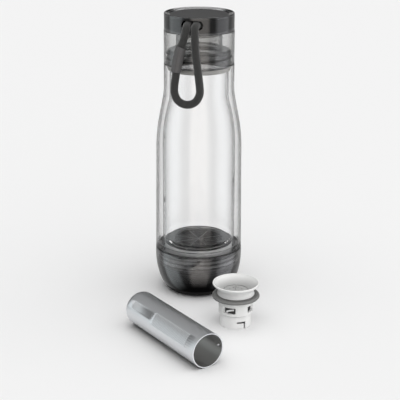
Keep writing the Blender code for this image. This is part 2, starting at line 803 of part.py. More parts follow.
def make_cord():
    world = [at_hole(*point) for point in ANCHOR_ROUTE]
    anchor = tube_mesh("cord_anchor", smooth_route(world, CORD_STEP), CORD_R, CORD_BEVEL_STEPS)
    add_part("cord_anchor", anchor, braid("anchor_braid"))

    swing_place = at_hole(0, SWING_OUT, SWING_HEIGHT)
    swing = add_empty("loop_swing_axis", swing_place)
    places = [at_hole(*point) - swing_place for point in LOOP_ROUTE]
    route = smooth_route(places, CORD_STEP)
    first_points, first_shares = rounded_end(route[0], route[1])
    last_points, last_shares = rounded_end(route[-1], route[-2])
    points = first_points + route + last_points[::-1]
    shares = first_shares + [1] * len(route) + last_shares[::-1]
    loop = tube_mesh("carry_cord", points, CORD_R, CORD_BEVEL_STEPS, shares)
    add_part("carry_cord", loop, braid("loop_braid"), parent=swing)

    held = []
    fine_route = smooth_route(places, SLEEVE_STEP)
    for place in fine_route[:len(fine_route) // 2]:
        height = place.z + SWING_HEIGHT
        if SLEEVE_BOTTOM <= height <= SLEEVE_TOP:
            held.append(place)
    held = held[:-1:SLEEVE_STRIDE] + held[-1:]
    sleeve_r = CORD_R + SLEEVE_FIT + SLEEVE_WALL
    sleeve_mesh = tube_mesh("cord_sleeve", held, sleeve_r, CORD_BEVEL_STEPS, filled=False)
    sleeve = add_part("cord_sleeve", sleeve_mesh, rubber("sleeve_grey", (0.11, 0.11, 0.11)),
                      parent=swing)
    wall = sleeve.modifiers.new("Wall", "SOLIDIFY")
    wall.thickness = SLEEVE_WALL
    wall.offset = -1


# Infuser

def make_infuser():
    direction = Vector((cos(TUBE_HEADING), sin(TUBE_HEADING), 0))
    mouth = Vector((TUBE_MOUTH_X, TUBE_MOUTH_Y, TUBE_R))
    frame = add_empty("infuser_axis", mouth - direction * TUBE_LENGTH)
    frame.rotation_euler = (0, pi / 2, TUBE_HEADING)
    bore_r = TUBE_R - TUBE_WALL
    outline = rounded([
        (0, TUBE_WALL),
        (bore_r, TUBE_WALL, TUBE_HEEL - TUBE_WALL),
        (bore_r, TUBE_LENGTH, TUBE_LIP),
        (TUBE_R, TUBE_LENGTH, TUBE_LIP),
        (TUBE_R, 0, TUBE_HEEL),
        (0, 0),
    ])
    turned("infuser_tube", outline, metal("tube_metal"), solid=True, steps=SMALL_STEPS,
           parent=frame)

    for side, name in ((1, "bayonet_pin_right"), (-1, "bayonet_pin_left")):
        pin_mesh = cylinder_mesh(name, PIN_R, PIN_REACH, PIN_STEPS)
        foot = side * (bore_r - GAP)
        pin = add_part(name, pin_mesh, metal(name), (0, foot, TUBE_LENGTH - PIN_SETBACK), frame)
        pin.rotation_euler.x = side * pi / 2


# Funnel

def make_funnel():
    frame = add_empty("funnel_axis", (FUNNEL_X, FUNNEL_Y, 0))

    sleeve = turned("bayonet_sleeve", [
        (TUBE_R, bayonet_height),
        (TUBE_R, BAYONET_LOWER_HEIGHT),
        (bayonet_r, BAYONET_LOWER_HEIGHT),
        (bayonet_r, 0),
        (bayonet_bore_r, 0),
        (bayonet_bore_r, bayonet_height),
    ], white_plastic("sleeve_white"), steps=SMALL_STEPS, parent=frame)
    inner = bayonet_bore_r - OVERRUN
    outer = TUBE_R + OVERRUN
    for index in range(WINDOWS):
        name = f"window_{index}"
        start = WINDOW_AZIMUTH - WINDOW_ARC / 2 + index * tau / WINDOWS
        block = arc_block_mesh(name, inner, outer, start, WINDOW_ARC, WINDOW_BOTTOM,
                               WINDOW_HEIGHT)
        combine(sleeve, add_cutter(name, block, parent=frame))
    leg_arc = SLOT_WIDTH / bayonet_r
    for index in range(SLOTS):
        turn_share = index * tau / SLOTS
        leg = arc_block_mesh(f"slot_leg_{index}", inner, outer,
                             SLOT_AZIMUTH - leg_arc / 2 + turn_share, leg_arc,
                             -OVERRUN, SLOT_HEIGHT + OVERRUN)
        combine(sleeve, add_cutter(f"slot_leg_{index}", leg, parent=frame))
        run = arc_block_mesh(f"slot_run_{index}", inner, outer,
                             SLOT_AZIMUTH - SLOT_ARC + turn_share, SLOT_ARC,
                             SLOT_HEIGHT - SLOT_WIDTH, SLOT_WIDTH)
        combine(sleeve, add_cutter(f"slot_run_{index}", run, parent=frame))

    groove_r = RING_R - RING_GROOVE
    middle = RING_HEIGHT / 2
    seal = rounded([
        (RING_R, RING_HEIGHT, RING_EDGE),
        (RING_R, middle + RING_GROOVE),
        (groove_r, middle),
        (RING_R, middle - RING_GROOVE),
        (RING_R, 0, RING_EDGE),
        (spigot_r + GAP, 0),
        (spigot_r + GAP, RING_HEIGHT),
    ])
    turned("funnel_seal", seal, rubber("ring_grey", (0.2, 0.2, 0.2)), ring_z,
           steps=SMALL_STEPS, parent=frame)

    lip_r = FUNNEL_LIP_R
    neck_top = (FUNNEL_NECK_R, FUNNEL_NECK_HEIGHT)
    rise = FUNNEL_HEIGHT - FUNNEL_NECK_HEIGHT
    outside = bezier((lip_r, FUNNEL_HEIGHT - FUNNEL_LIP), (lip_r - FUNNEL_LIP, rise),
                     (FUNNEL_NECK_R, FUNNEL_NECK_HEIGHT + rise / 2), neck_top)
    throat = (throat_r, FUNNEL_THROAT_HEIGHT)
    brim = (lip_r - FUNNEL_LIP, FUNNEL_HEIGHT)
    inside = bezier(throat, (throat_r + FUNNEL_THROAT_HEIGHT, FUNNEL_THROAT_HEIGHT),
                    (brim[0] - FUNNEL_THROAT_HEIGHT, FUNNEL_HEIGHT - FUNNEL_NECK_HEIGHT), brim)
    outline = [
        (lip_r, FUNNEL_HEIGHT),
        *outside,
        (FUNNEL_NECK_R + FUNNEL_FLARE, 0),
        (spigot_r, 0),
        (spigot_r, -SPIGOT_DEPTH),
        (funnel_bore_r, -SPIGOT_DEPTH),
        (funnel_bore_r, FUNNEL_SEAT),
        (throat_r, FUNNEL_SEAT),
        *inside,
    ]
    turned("funnel", outline, white_plastic("funnel_white"), funnel_z, steps=SMALL_STEPS,
           parent=frame)

    plate_r = throat_r - GAP
    post_top = STRAINER_THICK + STRAINER_POST_HEIGHT
    outline = [
        (0, post_top),
        (STRAINER_POST_R, post_top),
        (STRAINER_POST_R, STRAINER_THICK),
        (plate_r, STRAINER_THICK),
        (plate_r, 0),
        (0, 0),
    ]
    plate_z = funnel_z + FUNNEL_SEAT + GAP
    strainer = turned("strainer", outline, white_plastic("strainer_white"), plate_z,
                      solid=True, steps=SMALL_STEPS, parent=frame)
    for index in range(STRAINER_HOLES):
        name = f"strainer_hole_{index}"
        angle = (index + 0.5) * tau / STRAINER_HOLES
        ring_r = (plate_r + STRAINER_POST_R) / 2
        hole = cylinder_mesh(name, STRAINER_HOLE_R, STRAINER_THICK + 2 * OVERRUN,
                             STRAINER_HOLE_STEPS)
        place = (ring_r * cos(angle), ring_r * sin(angle), plate_z - OVERRUN)
        combine(strainer, add_cutter(name, hole, place, frame))


make_base()
make_shell()
make_cap()
make_cord()
make_infuser()
make_funnel()

bpy.context.view_layer.update()
for part in parts.objects:
    if part.type == "MESH":
        settle(part)
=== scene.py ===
# %% [markdown]
# # A tea infuser bottle in glass and smoke plastic
# This lesson dresses a bottle whose solids are already made. The solids say where everything
# is and how it moves. The cells below give each piece a finer surface and its own finish,
# then light it like a product on a pale table.

# %% Load the frame
import json
import math

import bmesh
import bpy
from mathutils import Matrix, Vector

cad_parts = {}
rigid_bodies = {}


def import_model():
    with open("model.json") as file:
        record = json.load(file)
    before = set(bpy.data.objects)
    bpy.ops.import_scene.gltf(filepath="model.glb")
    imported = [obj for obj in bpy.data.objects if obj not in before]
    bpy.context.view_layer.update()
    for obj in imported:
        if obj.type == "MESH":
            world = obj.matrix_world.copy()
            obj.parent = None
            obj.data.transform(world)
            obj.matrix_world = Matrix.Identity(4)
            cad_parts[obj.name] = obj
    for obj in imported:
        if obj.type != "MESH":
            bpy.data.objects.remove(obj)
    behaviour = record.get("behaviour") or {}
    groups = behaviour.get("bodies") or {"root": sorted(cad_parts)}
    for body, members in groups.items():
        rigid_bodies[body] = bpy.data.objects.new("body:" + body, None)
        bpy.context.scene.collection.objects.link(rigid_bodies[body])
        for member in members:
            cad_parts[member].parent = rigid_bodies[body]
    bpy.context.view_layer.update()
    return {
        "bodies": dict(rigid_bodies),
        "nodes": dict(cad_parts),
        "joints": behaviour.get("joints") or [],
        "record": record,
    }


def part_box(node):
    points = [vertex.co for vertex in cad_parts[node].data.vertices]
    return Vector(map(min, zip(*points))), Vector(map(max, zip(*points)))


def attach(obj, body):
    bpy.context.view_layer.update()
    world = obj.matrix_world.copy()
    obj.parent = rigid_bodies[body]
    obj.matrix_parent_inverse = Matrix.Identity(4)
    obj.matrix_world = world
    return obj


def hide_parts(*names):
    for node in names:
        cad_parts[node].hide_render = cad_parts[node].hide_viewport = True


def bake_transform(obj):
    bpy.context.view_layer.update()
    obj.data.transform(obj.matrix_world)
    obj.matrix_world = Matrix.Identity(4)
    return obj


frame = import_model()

MM = 0.001
TURN = 2 * math.pi
AXIS_UP = (0, 0, 1)
ORIGIN = (0, 0, 0)
print("pieces in the frame:", len(frame["nodes"]))

# %% [markdown]
# ## The camera
# A product photograph like this one is taken with a long lens from about a metre away, a
# little above the bottle, so that its sides stay almost parallel. The focal length comes from
# the picture's width in pixels and the bottle's size in it. A very small roll follows the
# lean of the bottle in the picture. Roll is a turn about the lens, so it is applied before
# the tilt.

# %% Camera
FRAME_PIXELS = 400
FOCAL_PIXELS = 1134
SENSOR = 36
CAMERA_PLACE = (1.15 * MM, -958.2 * MM, 408.1 * MM)
CAMERA_TILT = math.radians(71.2)
CAMERA_ROLL = math.radians(0.2)

lens = bpy.data.cameras.new("product_lens")
lens.sensor_width = SENSOR
lens.lens = SENSOR * FOCAL_PIXELS / FRAME_PIXELS
camera = bpy.data.objects.new("camera", lens)
bpy.context.scene.collection.objects.link(camera)
turn = Matrix.Rotation(CAMERA_TILT, 4, "X") @ Matrix.Rotation(CAMERA_ROLL, 4, "Z")
camera.matrix_world = Matrix.Translation(CAMERA_PLACE) @ turn
bpy.context.scene.camera = camera
print("focal length in mm:", round(lens.lens, 1))

# %% [markdown]
# ## Small tools
# Blender's operators act on whatever is selected, and a freshly loaded frame is selected all
# over. So everything is deselected before a new piece is started. Faces are chosen in code by
# where they are and which way they look, so a few words for that come first.

# %% Selecting
def deselect():
    bpy.ops.object.select_all(action="DESELECT")


def pick(piece):
    """Makes one piece the selected and active one."""
    deselect()
    piece.select_set(True)
    bpy.context.view_layer.objects.active = piece


def apply_modifier(piece, modifier):
    pick(piece)
    bpy.ops.object.modifier_apply(modifier=modifier.name)


def choose(piece, kind, test):
    """Goes into edit mode with only the verts, edges or faces that pass a test selected."""
    pick(piece)
    bpy.ops.object.mode_set(mode="EDIT")
    bpy.ops.mesh.select_mode(type={"verts": "VERT", "edges": "EDGE", "faces": "FACE"}[kind])
    bpy.ops.mesh.select_all(action="DESELECT")
    mesh = bmesh.from_edit_mesh(piece.data)
    chosen = [item for item in getattr(mesh, kind) if test(item)]
    for item in chosen:
        item.select_set(True)
    bmesh.update_edit_mesh(piece.data)
    return len(chosen)


def leave_edit():
    bpy.ops.object.mode_set(mode="OBJECT")


# %% Places
LEVEL = 0.9
SLOPED = 0.5
SIDE = 0.3
INWARD = 0.2
UPRIGHT = 0.1


def face_height(face):
    return face.calc_center_median().z


def face_radius(face):
    """How far a face is from the bottle's axis."""
    return face.calc_center_median().xy.length


def faces_axis(face, axis=Vector((0, 0))):
    """Whether a face looks towards the upright axis of its turned piece."""
    away = face.calc_center_median().xy - axis
    return face.normal.xy.dot(away) < -INWARD * away.length


def bottom(node):
    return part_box(node)[0].z


def top(node):
    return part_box(node)[1].z


def radius(node):
    """The outer radius of a round node on the bottle's axis."""
    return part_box(node)[1].x


# %% [markdown]
# ## Outlines
# Nearly everything here is turned: a bottle, a cap, a funnel. A turned piece is one closed
# outline of (radius, height) swept round the axis. Two helpers draw such outlines. One walks
# along a cubic curve for a shoulder, and the other rounds the corners that are given a
# fillet.

# %% Outline helpers
CURVE_STEPS = 36
FILLET_STEPS = 6


def bezier(start, start_handle, end_handle, end, steps=CURVE_STEPS):
    """Points along a cubic curve in (radius, height), both ends included."""
    points = []
    for step in range(steps + 1):
        share = step / steps
        rest = 1 - share
        weights = (rest ** 3, 3 * rest ** 2 * share, 3 * rest * share ** 2, share ** 3)
        corners = (start, start_handle, end_handle, end)
        across = sum(weight * corner[0] for weight, corner in zip(weights, corners))
        height = sum(weight * corner[1] for weight, corner in zip(weights, corners))
        points.append((across, height))
    return points


def inset(points, wall):
    """The same line moved inwards by the wall, for a line that runs down an outer side."""
    moved = []
    last = len(points) - 1
    for index, point in enumerate(points):
        before = Vector(points[max(index - 1, 0)])
        after = Vector(points[min(index + 1, last)])
        along = (after - before).normalized()
        moved.append((point[0] + along.y * wall, point[1] - along.x * wall))
    return moved


def rounded(corners):
    """A closed outline through corners of (radius, height) or (radius, height, fillet)."""
    points = []
    for index, item in enumerate(corners):
        corner = Vector(item[:2])
        fillet = item[2] if len(item) > 2 else 0
        if not fillet:
            points.append(tuple(corner))
            continue
        before = (Vector(corners[index - 1][:2]) - corner).normalized()
        after = (Vector(corners[(index + 1) % len(corners)][:2]) - corner).normalized()
        half = before.angle(after) / 2
        centre = corner + (before + after).normalized() * fillet / math.sin(half)
        start = corner + before * fillet / math.tan(half) - centre
        end = corner + after * fillet / math.tan(half) - centre
        for step in range(FILLET_STEPS + 1):
            towards = start.lerp(end, step / FILLET_STEPS).normalized()
            points.append(tuple(centre + towards * fillet))
    return points


# %% [markdown]
# ## The lathe
# The outline starts as a circle with as many points as it needs. The points are set along
# the outline, and the Spin operator carries it once round the axis. An outline that touches
# the axis leaves a loose edge there, which is deleted, and the doubles at the seam are
# merged before the faces are turned outwards.

# %% Lathe
BOTTLE_STEPS = 128
WELD = 0.005 * MM
SHARP = math.radians(35)
START_RADIUS = 10 * MM


def smooth(piece):
    pick(piece)
    bpy.ops.object.shade_smooth_by_angle(angle=SHARP)


def lathe(name, outline, steps=BOTTLE_STEPS):
    deselect()
    bpy.ops.mesh.primitive_circle_add(vertices=len(outline), radius=START_RADIUS)
    piece = bpy.context.object
    piece.name = name
    for vertex, (across, height) in zip(piece.data.vertices, outline):
        vertex.co = (across, 0, height)
    bpy.ops.object.mode_set(mode="EDIT")
    bpy.ops.mesh.select_all(action="SELECT")
    bpy.ops.mesh.spin(steps=steps, angle=TURN, center=ORIGIN, axis=AXIS_UP)
    bpy.ops.mesh.select_all(action="SELECT")
    bpy.ops.mesh.remove_doubles(threshold=WELD)
    bpy.ops.mesh.delete_loose()
    bpy.ops.mesh.select_all(action="SELECT")
    bpy.ops.mesh.normals_make_consistent(inside=False)
    bpy.ops.object.mode_set(mode="OBJECT")
    smooth(piece)
    return piece


def settle(piece, body, slot, material, *nodes):
    """Gives a finished piece its place in the table and its finish."""
    pick(piece)
    bpy.ops.object.transform_apply(location=True, rotation=True, scale=True)
    piece.data.name = piece.name
    piece.data.materials.clear()
    piece.data.materials.append(material)
    if nodes:
        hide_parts(*nodes)
    if body:
        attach(piece, body)
    triangles = sum(len(face.vertices) - 2 for face in piece.data.polygons)
    print(piece.name, "has", triangles, "triangles")
    return piece


def dress(piece, finish, test):
    """Gives the faces that pass a test another finish."""
    piece.data.materials.append(finish)
    count = choose(piece, "faces", test)
    piece.active_material_index = len(piece.data.materials) - 1
    bpy.ops.object.material_slot_assign()
    leave_edit()
    print("faces in", finish.name, "on", piece.name + ":", count)


# %% [markdown]
# ## Fusing and cutting
# A Boolean modifier joins or cuts two closed meshes. The tool is removed afterwards.

# %% Boolean helper
def combine(piece, tool, operation):
    modifier = piece.modifiers.new(tool.name, "BOOLEAN")
    modifier.operation = operation
    modifier.solver = "EXACT"
    modifier.object = tool
    apply_modifier(piece, modifier)
    bpy.data.objects.remove(tool)
    smooth(piece)


# %% [markdown]
# ## Screw threads
# A thread is one small round section carried along a helix, which the Screw modifier does
# when it is given a height for its turn. Real moulded threads fade in and out, so the ridge
# is narrowed towards both ends before it is fused to its wall.

# %% Thread
THREAD_HEIGHT = 0.9 * MM
THREAD_SIDES = 12
THREAD_STEPS = 72
THREAD_LEAD = 9
THREAD_END_SHARE = 0.2


def thread(piece, wall_radius, start, pitch, turns):
    """Fuses a right-handed ridge to a round wall, starting at a height."""
    deselect()
    bpy.ops.mesh.primitive_circle_add(vertices=THREAD_SIDES, radius=THREAD_HEIGHT,
                                      location=(wall_radius, 0, start),
                                      rotation=(TURN / 4, 0, 0))
    ridge = bpy.context.object
    bpy.ops.object.transform_apply(location=True, rotation=True, scale=True)
    screw = ridge.modifiers.new("helix", "SCREW")
    screw.angle = turns * TURN
    screw.screw_offset = turns * pitch
    screw.steps = screw.render_steps = round(turns * THREAD_STEPS)
    screw.merge_threshold = WELD
    apply_modifier(ridge, screw)
    rings = len(ridge.data.vertices) // THREAD_SIDES
    for ring in range(rings):
        members = [ridge.data.vertices[ring * THREAD_SIDES + side] for side in range(THREAD_SIDES)]
        centre = sum((vertex.co for vertex in members), Vector()) / THREAD_SIDES
        lead = min(1, (min(ring, rings - 1 - ring) + 1) / THREAD_LEAD)
        share = THREAD_END_SHARE + (1 - THREAD_END_SHARE) * math.sin(lead * TURN / 4)
        for vertex in members:
            vertex.co = centre + (vertex.co - centre) * share
    bpy.ops.object.mode_set(mode="EDIT")
    bpy.ops.mesh.select_all(action="SELECT")
    bpy.ops.mesh.fill_holes(sides=0)
    bpy.ops.mesh.select_all(action="SELECT")
    bpy.ops.mesh.normals_make_consistent(inside=False)
    bpy.ops.object.mode_set(mode="OBJECT")
    combine(piece, ridge, "UNION")


# %% [markdown]
# ## Finishes
# Every finish is a Principled shader with a little unevenness from noise on Object
# coordinates, which are metres here, so each noise is given the length of its own lumps.

# %% Material helpers
def new_finish(name, colour, roughness, **values):
    """A Principled finish with plain values, and its nodes and shader."""
    finish = bpy.data.materials.new(name)
    finish.use_nodes = True
    shader = finish.node_tree.nodes["Principled BSDF"]
    shader.inputs["Base Color"].default_value = (*colour, 1)
    shader.inputs["Roughness"].default_value = roughness
    for socket, value in values.items():
        shader.inputs[socket.replace("_", " ")].default_value = value
    return finish, finish.node_tree, shader


def noise(tree, size, detail=3, stretch=(1, 1, 1)):
    """Noise whose lumps are about this long, in metres of the object's own space."""
    place = tree.nodes.new("ShaderNodeTexCoord")
    mapping = tree.nodes.new("ShaderNodeMapping")
    mapping.inputs["Scale"].default_value = stretch
    texture = tree.nodes.new("ShaderNodeTexNoise")
    texture.inputs["Scale"].default_value = 1 / size
    texture.inputs["Detail"].default_value = detail
    tree.links.new(place.outputs["Object"], mapping.inputs["Vector"])
    tree.links.new(mapping.outputs["Vector"], texture.inputs["Vector"])
    return texture.outputs["Fac"]


def spread(tree, value, low, high):
    """Moves a 0 to 1 value into a range."""
    reach = tree.nodes.new("ShaderNodeMapRange")
    reach.inputs["To Min"].default_value = low
    reach.inputs["To Max"].default_value = high
    tree.links.new(value, reach.inputs["Value"])
    return reach.outputs["Result"]


def tint(tree, value, low, high):
    """Mixes two colours by a 0 to 1 value."""
    ramp = tree.nodes.new("ShaderNodeValToRGB")
    ramp.color_ramp.elements[0].color = (*low, 1)
    ramp.color_ramp.elements[1].color = (*high, 1)
    tree.links.new(value, ramp.inputs["Fac"])
    return ramp.outputs["Color"]


def bump(tree, shader, value, height):
    lift = tree.nodes.new("ShaderNodeBump")
    lift.inputs["Distance"].default_value = height
    lift.inputs["Strength"].default_value = 1.0
    tree.links.new(value, lift.inputs["Height"])
    tree.links.new(lift.outputs["Normal"], shader.inputs["Normal"])


# %% [markdown]
# ## Clear finishes
# Glass and clear plastic let light through at full weight. Their reflections are what shows
# their shape, so their roughness is almost nothing, and a very weak bump stands for the
# ripple of moulded plastic and blown glass. A real wall looks darker where it is seen edge
# on, because the eye looks through more of it. A power of the Facing value does that here
# with a second, darker colour. Each finish below gives its edge colour, its face colour, the
# refraction of its body and of its coat, the length of its ripple and its greatest roughness.
# The glass bends light very little at its rounded heel, so that the seat shows through it.

# %% Clear finishes
RIM_POWER = 8.0
EVEN_BLEND = 0.5
COAT_ROUGHNESS = 0.02
POLISH_SIZE = 9 * MM
RIPPLE_STRETCH = (1, 1, 0.25)
RIPPLE_HEIGHT = 0.02 * MM


def clear_finish(name, rim, face, ior, coat_ior, ripple, highest):
    """A see-through finish that is darker where its surface turns away from the eye."""
    finish, tree, shader = new_finish(name, face, 0.0, Transmission_Weight=1.0, IOR=ior,
                                      Coat_Weight=1.0, Coat_IOR=coat_ior,
                                      Coat_Roughness=COAT_ROUGHNESS)
    facing = tree.nodes.new("ShaderNodeLayerWeight")
    facing.inputs["Blend"].default_value = EVEN_BLEND
    turned = tree.nodes.new("ShaderNodeMath")
    turned.operation = "POWER"
    turned.inputs[1].default_value = RIM_POWER
    tree.links.new(facing.outputs["Facing"], turned.inputs[0])
    tree.links.new(tint(tree, turned.outputs[0], face, rim), shader.inputs["Base Color"])
    tree.links.new(spread(tree, noise(tree, POLISH_SIZE), 0.0, highest),
                   shader.inputs["Roughness"])
    bump(tree, shader, noise(tree, ripple, 1, RIPPLE_STRETCH), RIPPLE_HEIGHT)
    return finish


core_glass = clear_finish("core_glass", (0.95, 0.96, 0.96), (1.0, 1.0, 1.0), 1.13, 1.34,
                          30 * MM, 0.01)
heel_glass = clear_finish("heel_glass", (0.97, 0.98, 0.98), (1.0, 1.0, 1.0), 1.02, 1.03,
                          30 * MM, 0.01)
clear_plastic = clear_finish("clear_plastic", (0.8, 0.81, 0.81), (1.0, 1.0, 1.0), 1.13, 1.36,
                             22 * MM, 0.02)
skirt_plastic = clear_finish("skirt_plastic", (0.4, 0.4, 0.4), (0.78, 0.78, 0.775), 1.2, 1.5,
                             22 * MM, 0.02)
smoke_plastic = clear_finish("smoke_plastic", (0.14, 0.14, 0.145), (0.22, 0.22, 0.225), 1.5,
                             1.6, 18 * MM, 0.07)
collar_smoke = clear_finish("collar_smoke", (0.3, 0.3, 0.305), (0.5, 0.5, 0.505), 1.4, 1.6,
                            18 * MM, 0.07)
drum_smoke = clear_finish("drum_smoke", (0.06, 0.06, 0.06), (0.1, 0.1, 0.1), 1.4, 1.5,
                          18 * MM, 0.1)
cup_smoke_and_shade = clear_finish("cup_smoke_and_shade", (0.5, 0.5, 0.505), (0.62, 0.62, 0.625), 1.3, 1.7,
                         18 * MM, 0.05)
print("clear finishes:", len(bpy.data.materials))

# %% [markdown]
# ## Painted shade on the cup
# The base cup is painted darker towards its heel, as painted shade for the contact shadow
# under it. Two ramps up the object's own height multiply its colour: a long one for the wall,
# and a short one that ends in black over the foot.

# %% Painted shade on the cup
CUP_SHADE_Z = 20 * MM
CUP_CLEAR_Z = 32 * MM
CUP_SHADE_TINT = (0.3, 0.3, 0.3)
CUP_SHADOW_Z = 8 * MM
SHADOW_BLACK = (0.0, 0.0, 0.0)


def shade_by_height(finish, low_z, high_z, dark):
    """Multiplies a finish's colour by a ramp from dark at one height to 1 at another."""
    tree = finish.node_tree
    shader = tree.nodes["Principled BSDF"]
    colour = shader.inputs["Base Color"].links[0].from_socket
    place = tree.nodes.new("ShaderNodeTexCoord")
    axes = tree.nodes.new("ShaderNodeSeparateXYZ")
    tree.links.new(place.outputs["Object"], axes.inputs[0])
    reach = tree.nodes.new("ShaderNodeMapRange")
    reach.inputs["From Min"].default_value = low_z
    reach.inputs["From Max"].default_value = high_z
    tree.links.new(axes.outputs["Z"], reach.inputs["Value"])
    both = tree.nodes.new("ShaderNodeMix")
    both.data_type = "RGBA"
    both.blend_type = "MULTIPLY"
    both.inputs["Factor"].default_value = 1.0
    sockets = [socket for socket in both.inputs if socket.type == "RGBA"]
    tree.links.new(colour, sockets[0])
    tree.links.new(tint(tree, reach.outputs["Result"], dark, (1, 1, 1)), sockets[1])
    mixed = next(socket for socket in both.outputs if socket.type == "RGBA")
    tree.links.new(mixed, shader.inputs["Base Color"])


# Painted shade: the cup darkens down its wall and turns black over the foot.
shade_by_height(cup_smoke_and_shade, CUP_SHADE_Z, CUP_CLEAR_Z, CUP_SHADE_TINT)
shade_by_height(cup_smoke_and_shade, CUP_SHADOW_Z, CUP_SHADE_Z, SHADOW_BLACK)
print("nodes in the cup's finish:", len(cup_smoke_and_shade.node_tree.nodes))

# %% [markdown]
# ## Solid finishes
# Rubber, silicone, white plastic and flat greys let no light through. Some of them are painted
# light or painted shade: pale greys on the thread and the seat, and black or dark grey in the
# cap's pocket, on the thread's ridges, inside the sleeve and in the funnel's throat. They differ
# in colour, in how shiny they are and in how coarse their grain is, so one helper makes them
# all. It lays a fine grain over the surface, and can make the colour patchy or the polish
# uneven. Both are given as the size of the patches and the two ends of their range.

# %% Solid finishes
FINE_GRAIN = 0.6 * MM
WALL_STRETCH = (1, 1, 0.2)


def solid_finish(name, colour, roughness, grain, depth, patches=None, polish=None,
                 stretch=(1, 1, 1), **values):
    """A finish with a fine grain, and with a patchy colour or an uneven polish."""
    finish, tree, shader = new_finish(name, colour, roughness, **values)
    if patches:
        size, low, high = patches
        tree.links.new(tint(tree, noise(tree, size, 3, stretch), low, high),
                       shader.inputs["Base Color"])
    if polish:
        size, low, high = polish
        tree.links.new(spread(tree, noise(tree, size), low, high), shader.inputs["Roughness"])
    bump(tree, shader, noise(tree, grain), depth)
    return finish


# Painted shade: this black stands for the shade in the cap's pocket.
pocket_shade = solid_finish("pocket_shade", (0.012, 0.012, 0.012), 0.6, 0.8 * MM, 0.02 * MM)
# Painted shade: this dark grey is for the ridges of the threads.
thread_shade = solid_finish("thread_shade", (0.05, 0.05, 0.05), 0.35, FINE_GRAIN, 0.01 * MM)
# Black rubber for the foot. On the base cup's underside the same black is painted shade.
foot_rubber_and_shade = solid_finish("foot_rubber_and_shade", (0.012, 0.012, 0.012), 0.75, 0.5 * MM, 0.05 * MM,
                           Specular_IOR_Level=0.15)
dish_grey = solid_finish("dish_grey", (0.06, 0.06, 0.06), 0.6, 0.5 * MM, 0.01 * MM,
                         (8 * MM, (0.055, 0.055, 0.056), (0.068, 0.068, 0.068)),
                         Specular_IOR_Level=0.25)
# Painted light: this pale grey is for the round side of the seat.
drum_painted_light = solid_finish("drum_painted_light", (0.66, 0.66, 0.66), 0.4, FINE_GRAIN, 0.01 * MM,
                          (5 * MM, (0.6, 0.6, 0.6), (0.72, 0.72, 0.72)),
                          stretch=WALL_STRETCH)
# Painted light: this pale grey is for the skirt's wall between the ridges.
skirt_painted_light = solid_finish("skirt_painted_light", (0.5, 0.5, 0.5), 0.4, FINE_GRAIN, 0.01 * MM,
                           (5 * MM, (0.45, 0.45, 0.45), (0.55, 0.55, 0.55)),
                           stretch=WALL_STRETCH)
grey_silicone = solid_finish("grey_silicone", (0.5, 0.49, 0.47), 0.42, 0.4 * MM, 0.01 * MM,
                             (6 * MM, (0.47, 0.46, 0.44), (0.55, 0.54, 0.52)))
ring_silicone = solid_finish("ring_silicone", (0.21, 0.21, 0.205), 0.36, 0.35 * MM,
                             0.01 * MM, polish=(3 * MM, 0.3, 0.42))
white_plastic = solid_finish("white_plastic", (0.92, 0.92, 0.91), 0.35, FINE_GRAIN,
                             0.006 * MM, polish=(4 * MM, 0.28, 0.42))
shaded_white = solid_finish("shaded_white", (0.12, 0.12, 0.12), 0.5, FINE_GRAIN,
                            0.006 * MM, polish=(4 * MM, 0.4, 0.55))
# On the strainer, this grey is painted shade for the funnel's throat.
plate_white = solid_finish("plate_white", (0.42, 0.42, 0.415), 0.4, FINE_GRAIN,
                           0.006 * MM, polish=(4 * MM, 0.34, 0.46))
# This white gets painted shade towards the funnel's throat further on.
bowl_white_and_shade = solid_finish("bowl_white_and_shade", (0.87, 0.87, 0.86), 0.2, FINE_GRAIN, 0.006 * MM,
                          (6 * MM, (0.84, 0.84, 0.83), (0.9, 0.9, 0.89)))
print("finishes so far:", len(bpy.data.materials))

# %% [markdown]
# ## The glass core
# The vessel inside is blown glass: a straight wall, a rounded heel, a long shoulder and a
# straight neck. Its outline is one wall thick all the way, so the inner line is the outer
# one moved inwards. The faces of the heel get their own clear glass.

# %% Glass core
GLASS_WALL = 2.0 * MM
GLASS_NECK_R = 25.4 * MM
GLASS_HEEL = 5.0 * MM
GLASS_LIP = 0.9 * MM
GLASS_BODY_HEIGHT = 85.8 * MM
GLASS_SHOULDER_HEIGHT = 48.0 * MM
GLASS_LOW_SHARE = 0.62
GLASS_TOP_SHARE = 0.21

glass_r = radius("glass_core")
glass_z = bottom("glass_core")
mouth_z = top("glass_core")
glass_shoulder_z = glass_z + GLASS_BODY_HEIGHT
glass_neck_z = glass_shoulder_z + GLASS_SHOULDER_HEIGHT
outside = bezier((GLASS_NECK_R, glass_neck_z),
                 (GLASS_NECK_R, glass_neck_z - GLASS_SHOULDER_HEIGHT * GLASS_TOP_SHARE),
                 (glass_r, glass_shoulder_z + GLASS_SHOULDER_HEIGHT * GLASS_LOW_SHARE),
                 (glass_r, glass_shoulder_z))
inside = list(reversed(inset(outside, GLASS_WALL)))
glass_core = lathe("glass_vessel", rounded([
    (0, glass_z + GLASS_WALL),
    (glass_r - GLASS_WALL, glass_z + GLASS_WALL, GLASS_HEEL - GLASS_WALL),
    *inside,
    (GLASS_NECK_R - GLASS_WALL, mouth_z, GLASS_LIP),
    (GLASS_NECK_R, mouth_z, GLASS_LIP),
    *outside,
    (glass_r, glass_z, GLASS_HEEL),
    (0, glass_z),
]))
settle(glass_core, "shell", "core_glass", core_glass, "glass_core")
dress(glass_core, heel_glass, lambda face: face_height(face) < glass_z + GLASS_HEEL
      and face_radius(face) > glass_r - GLASS_HEEL)

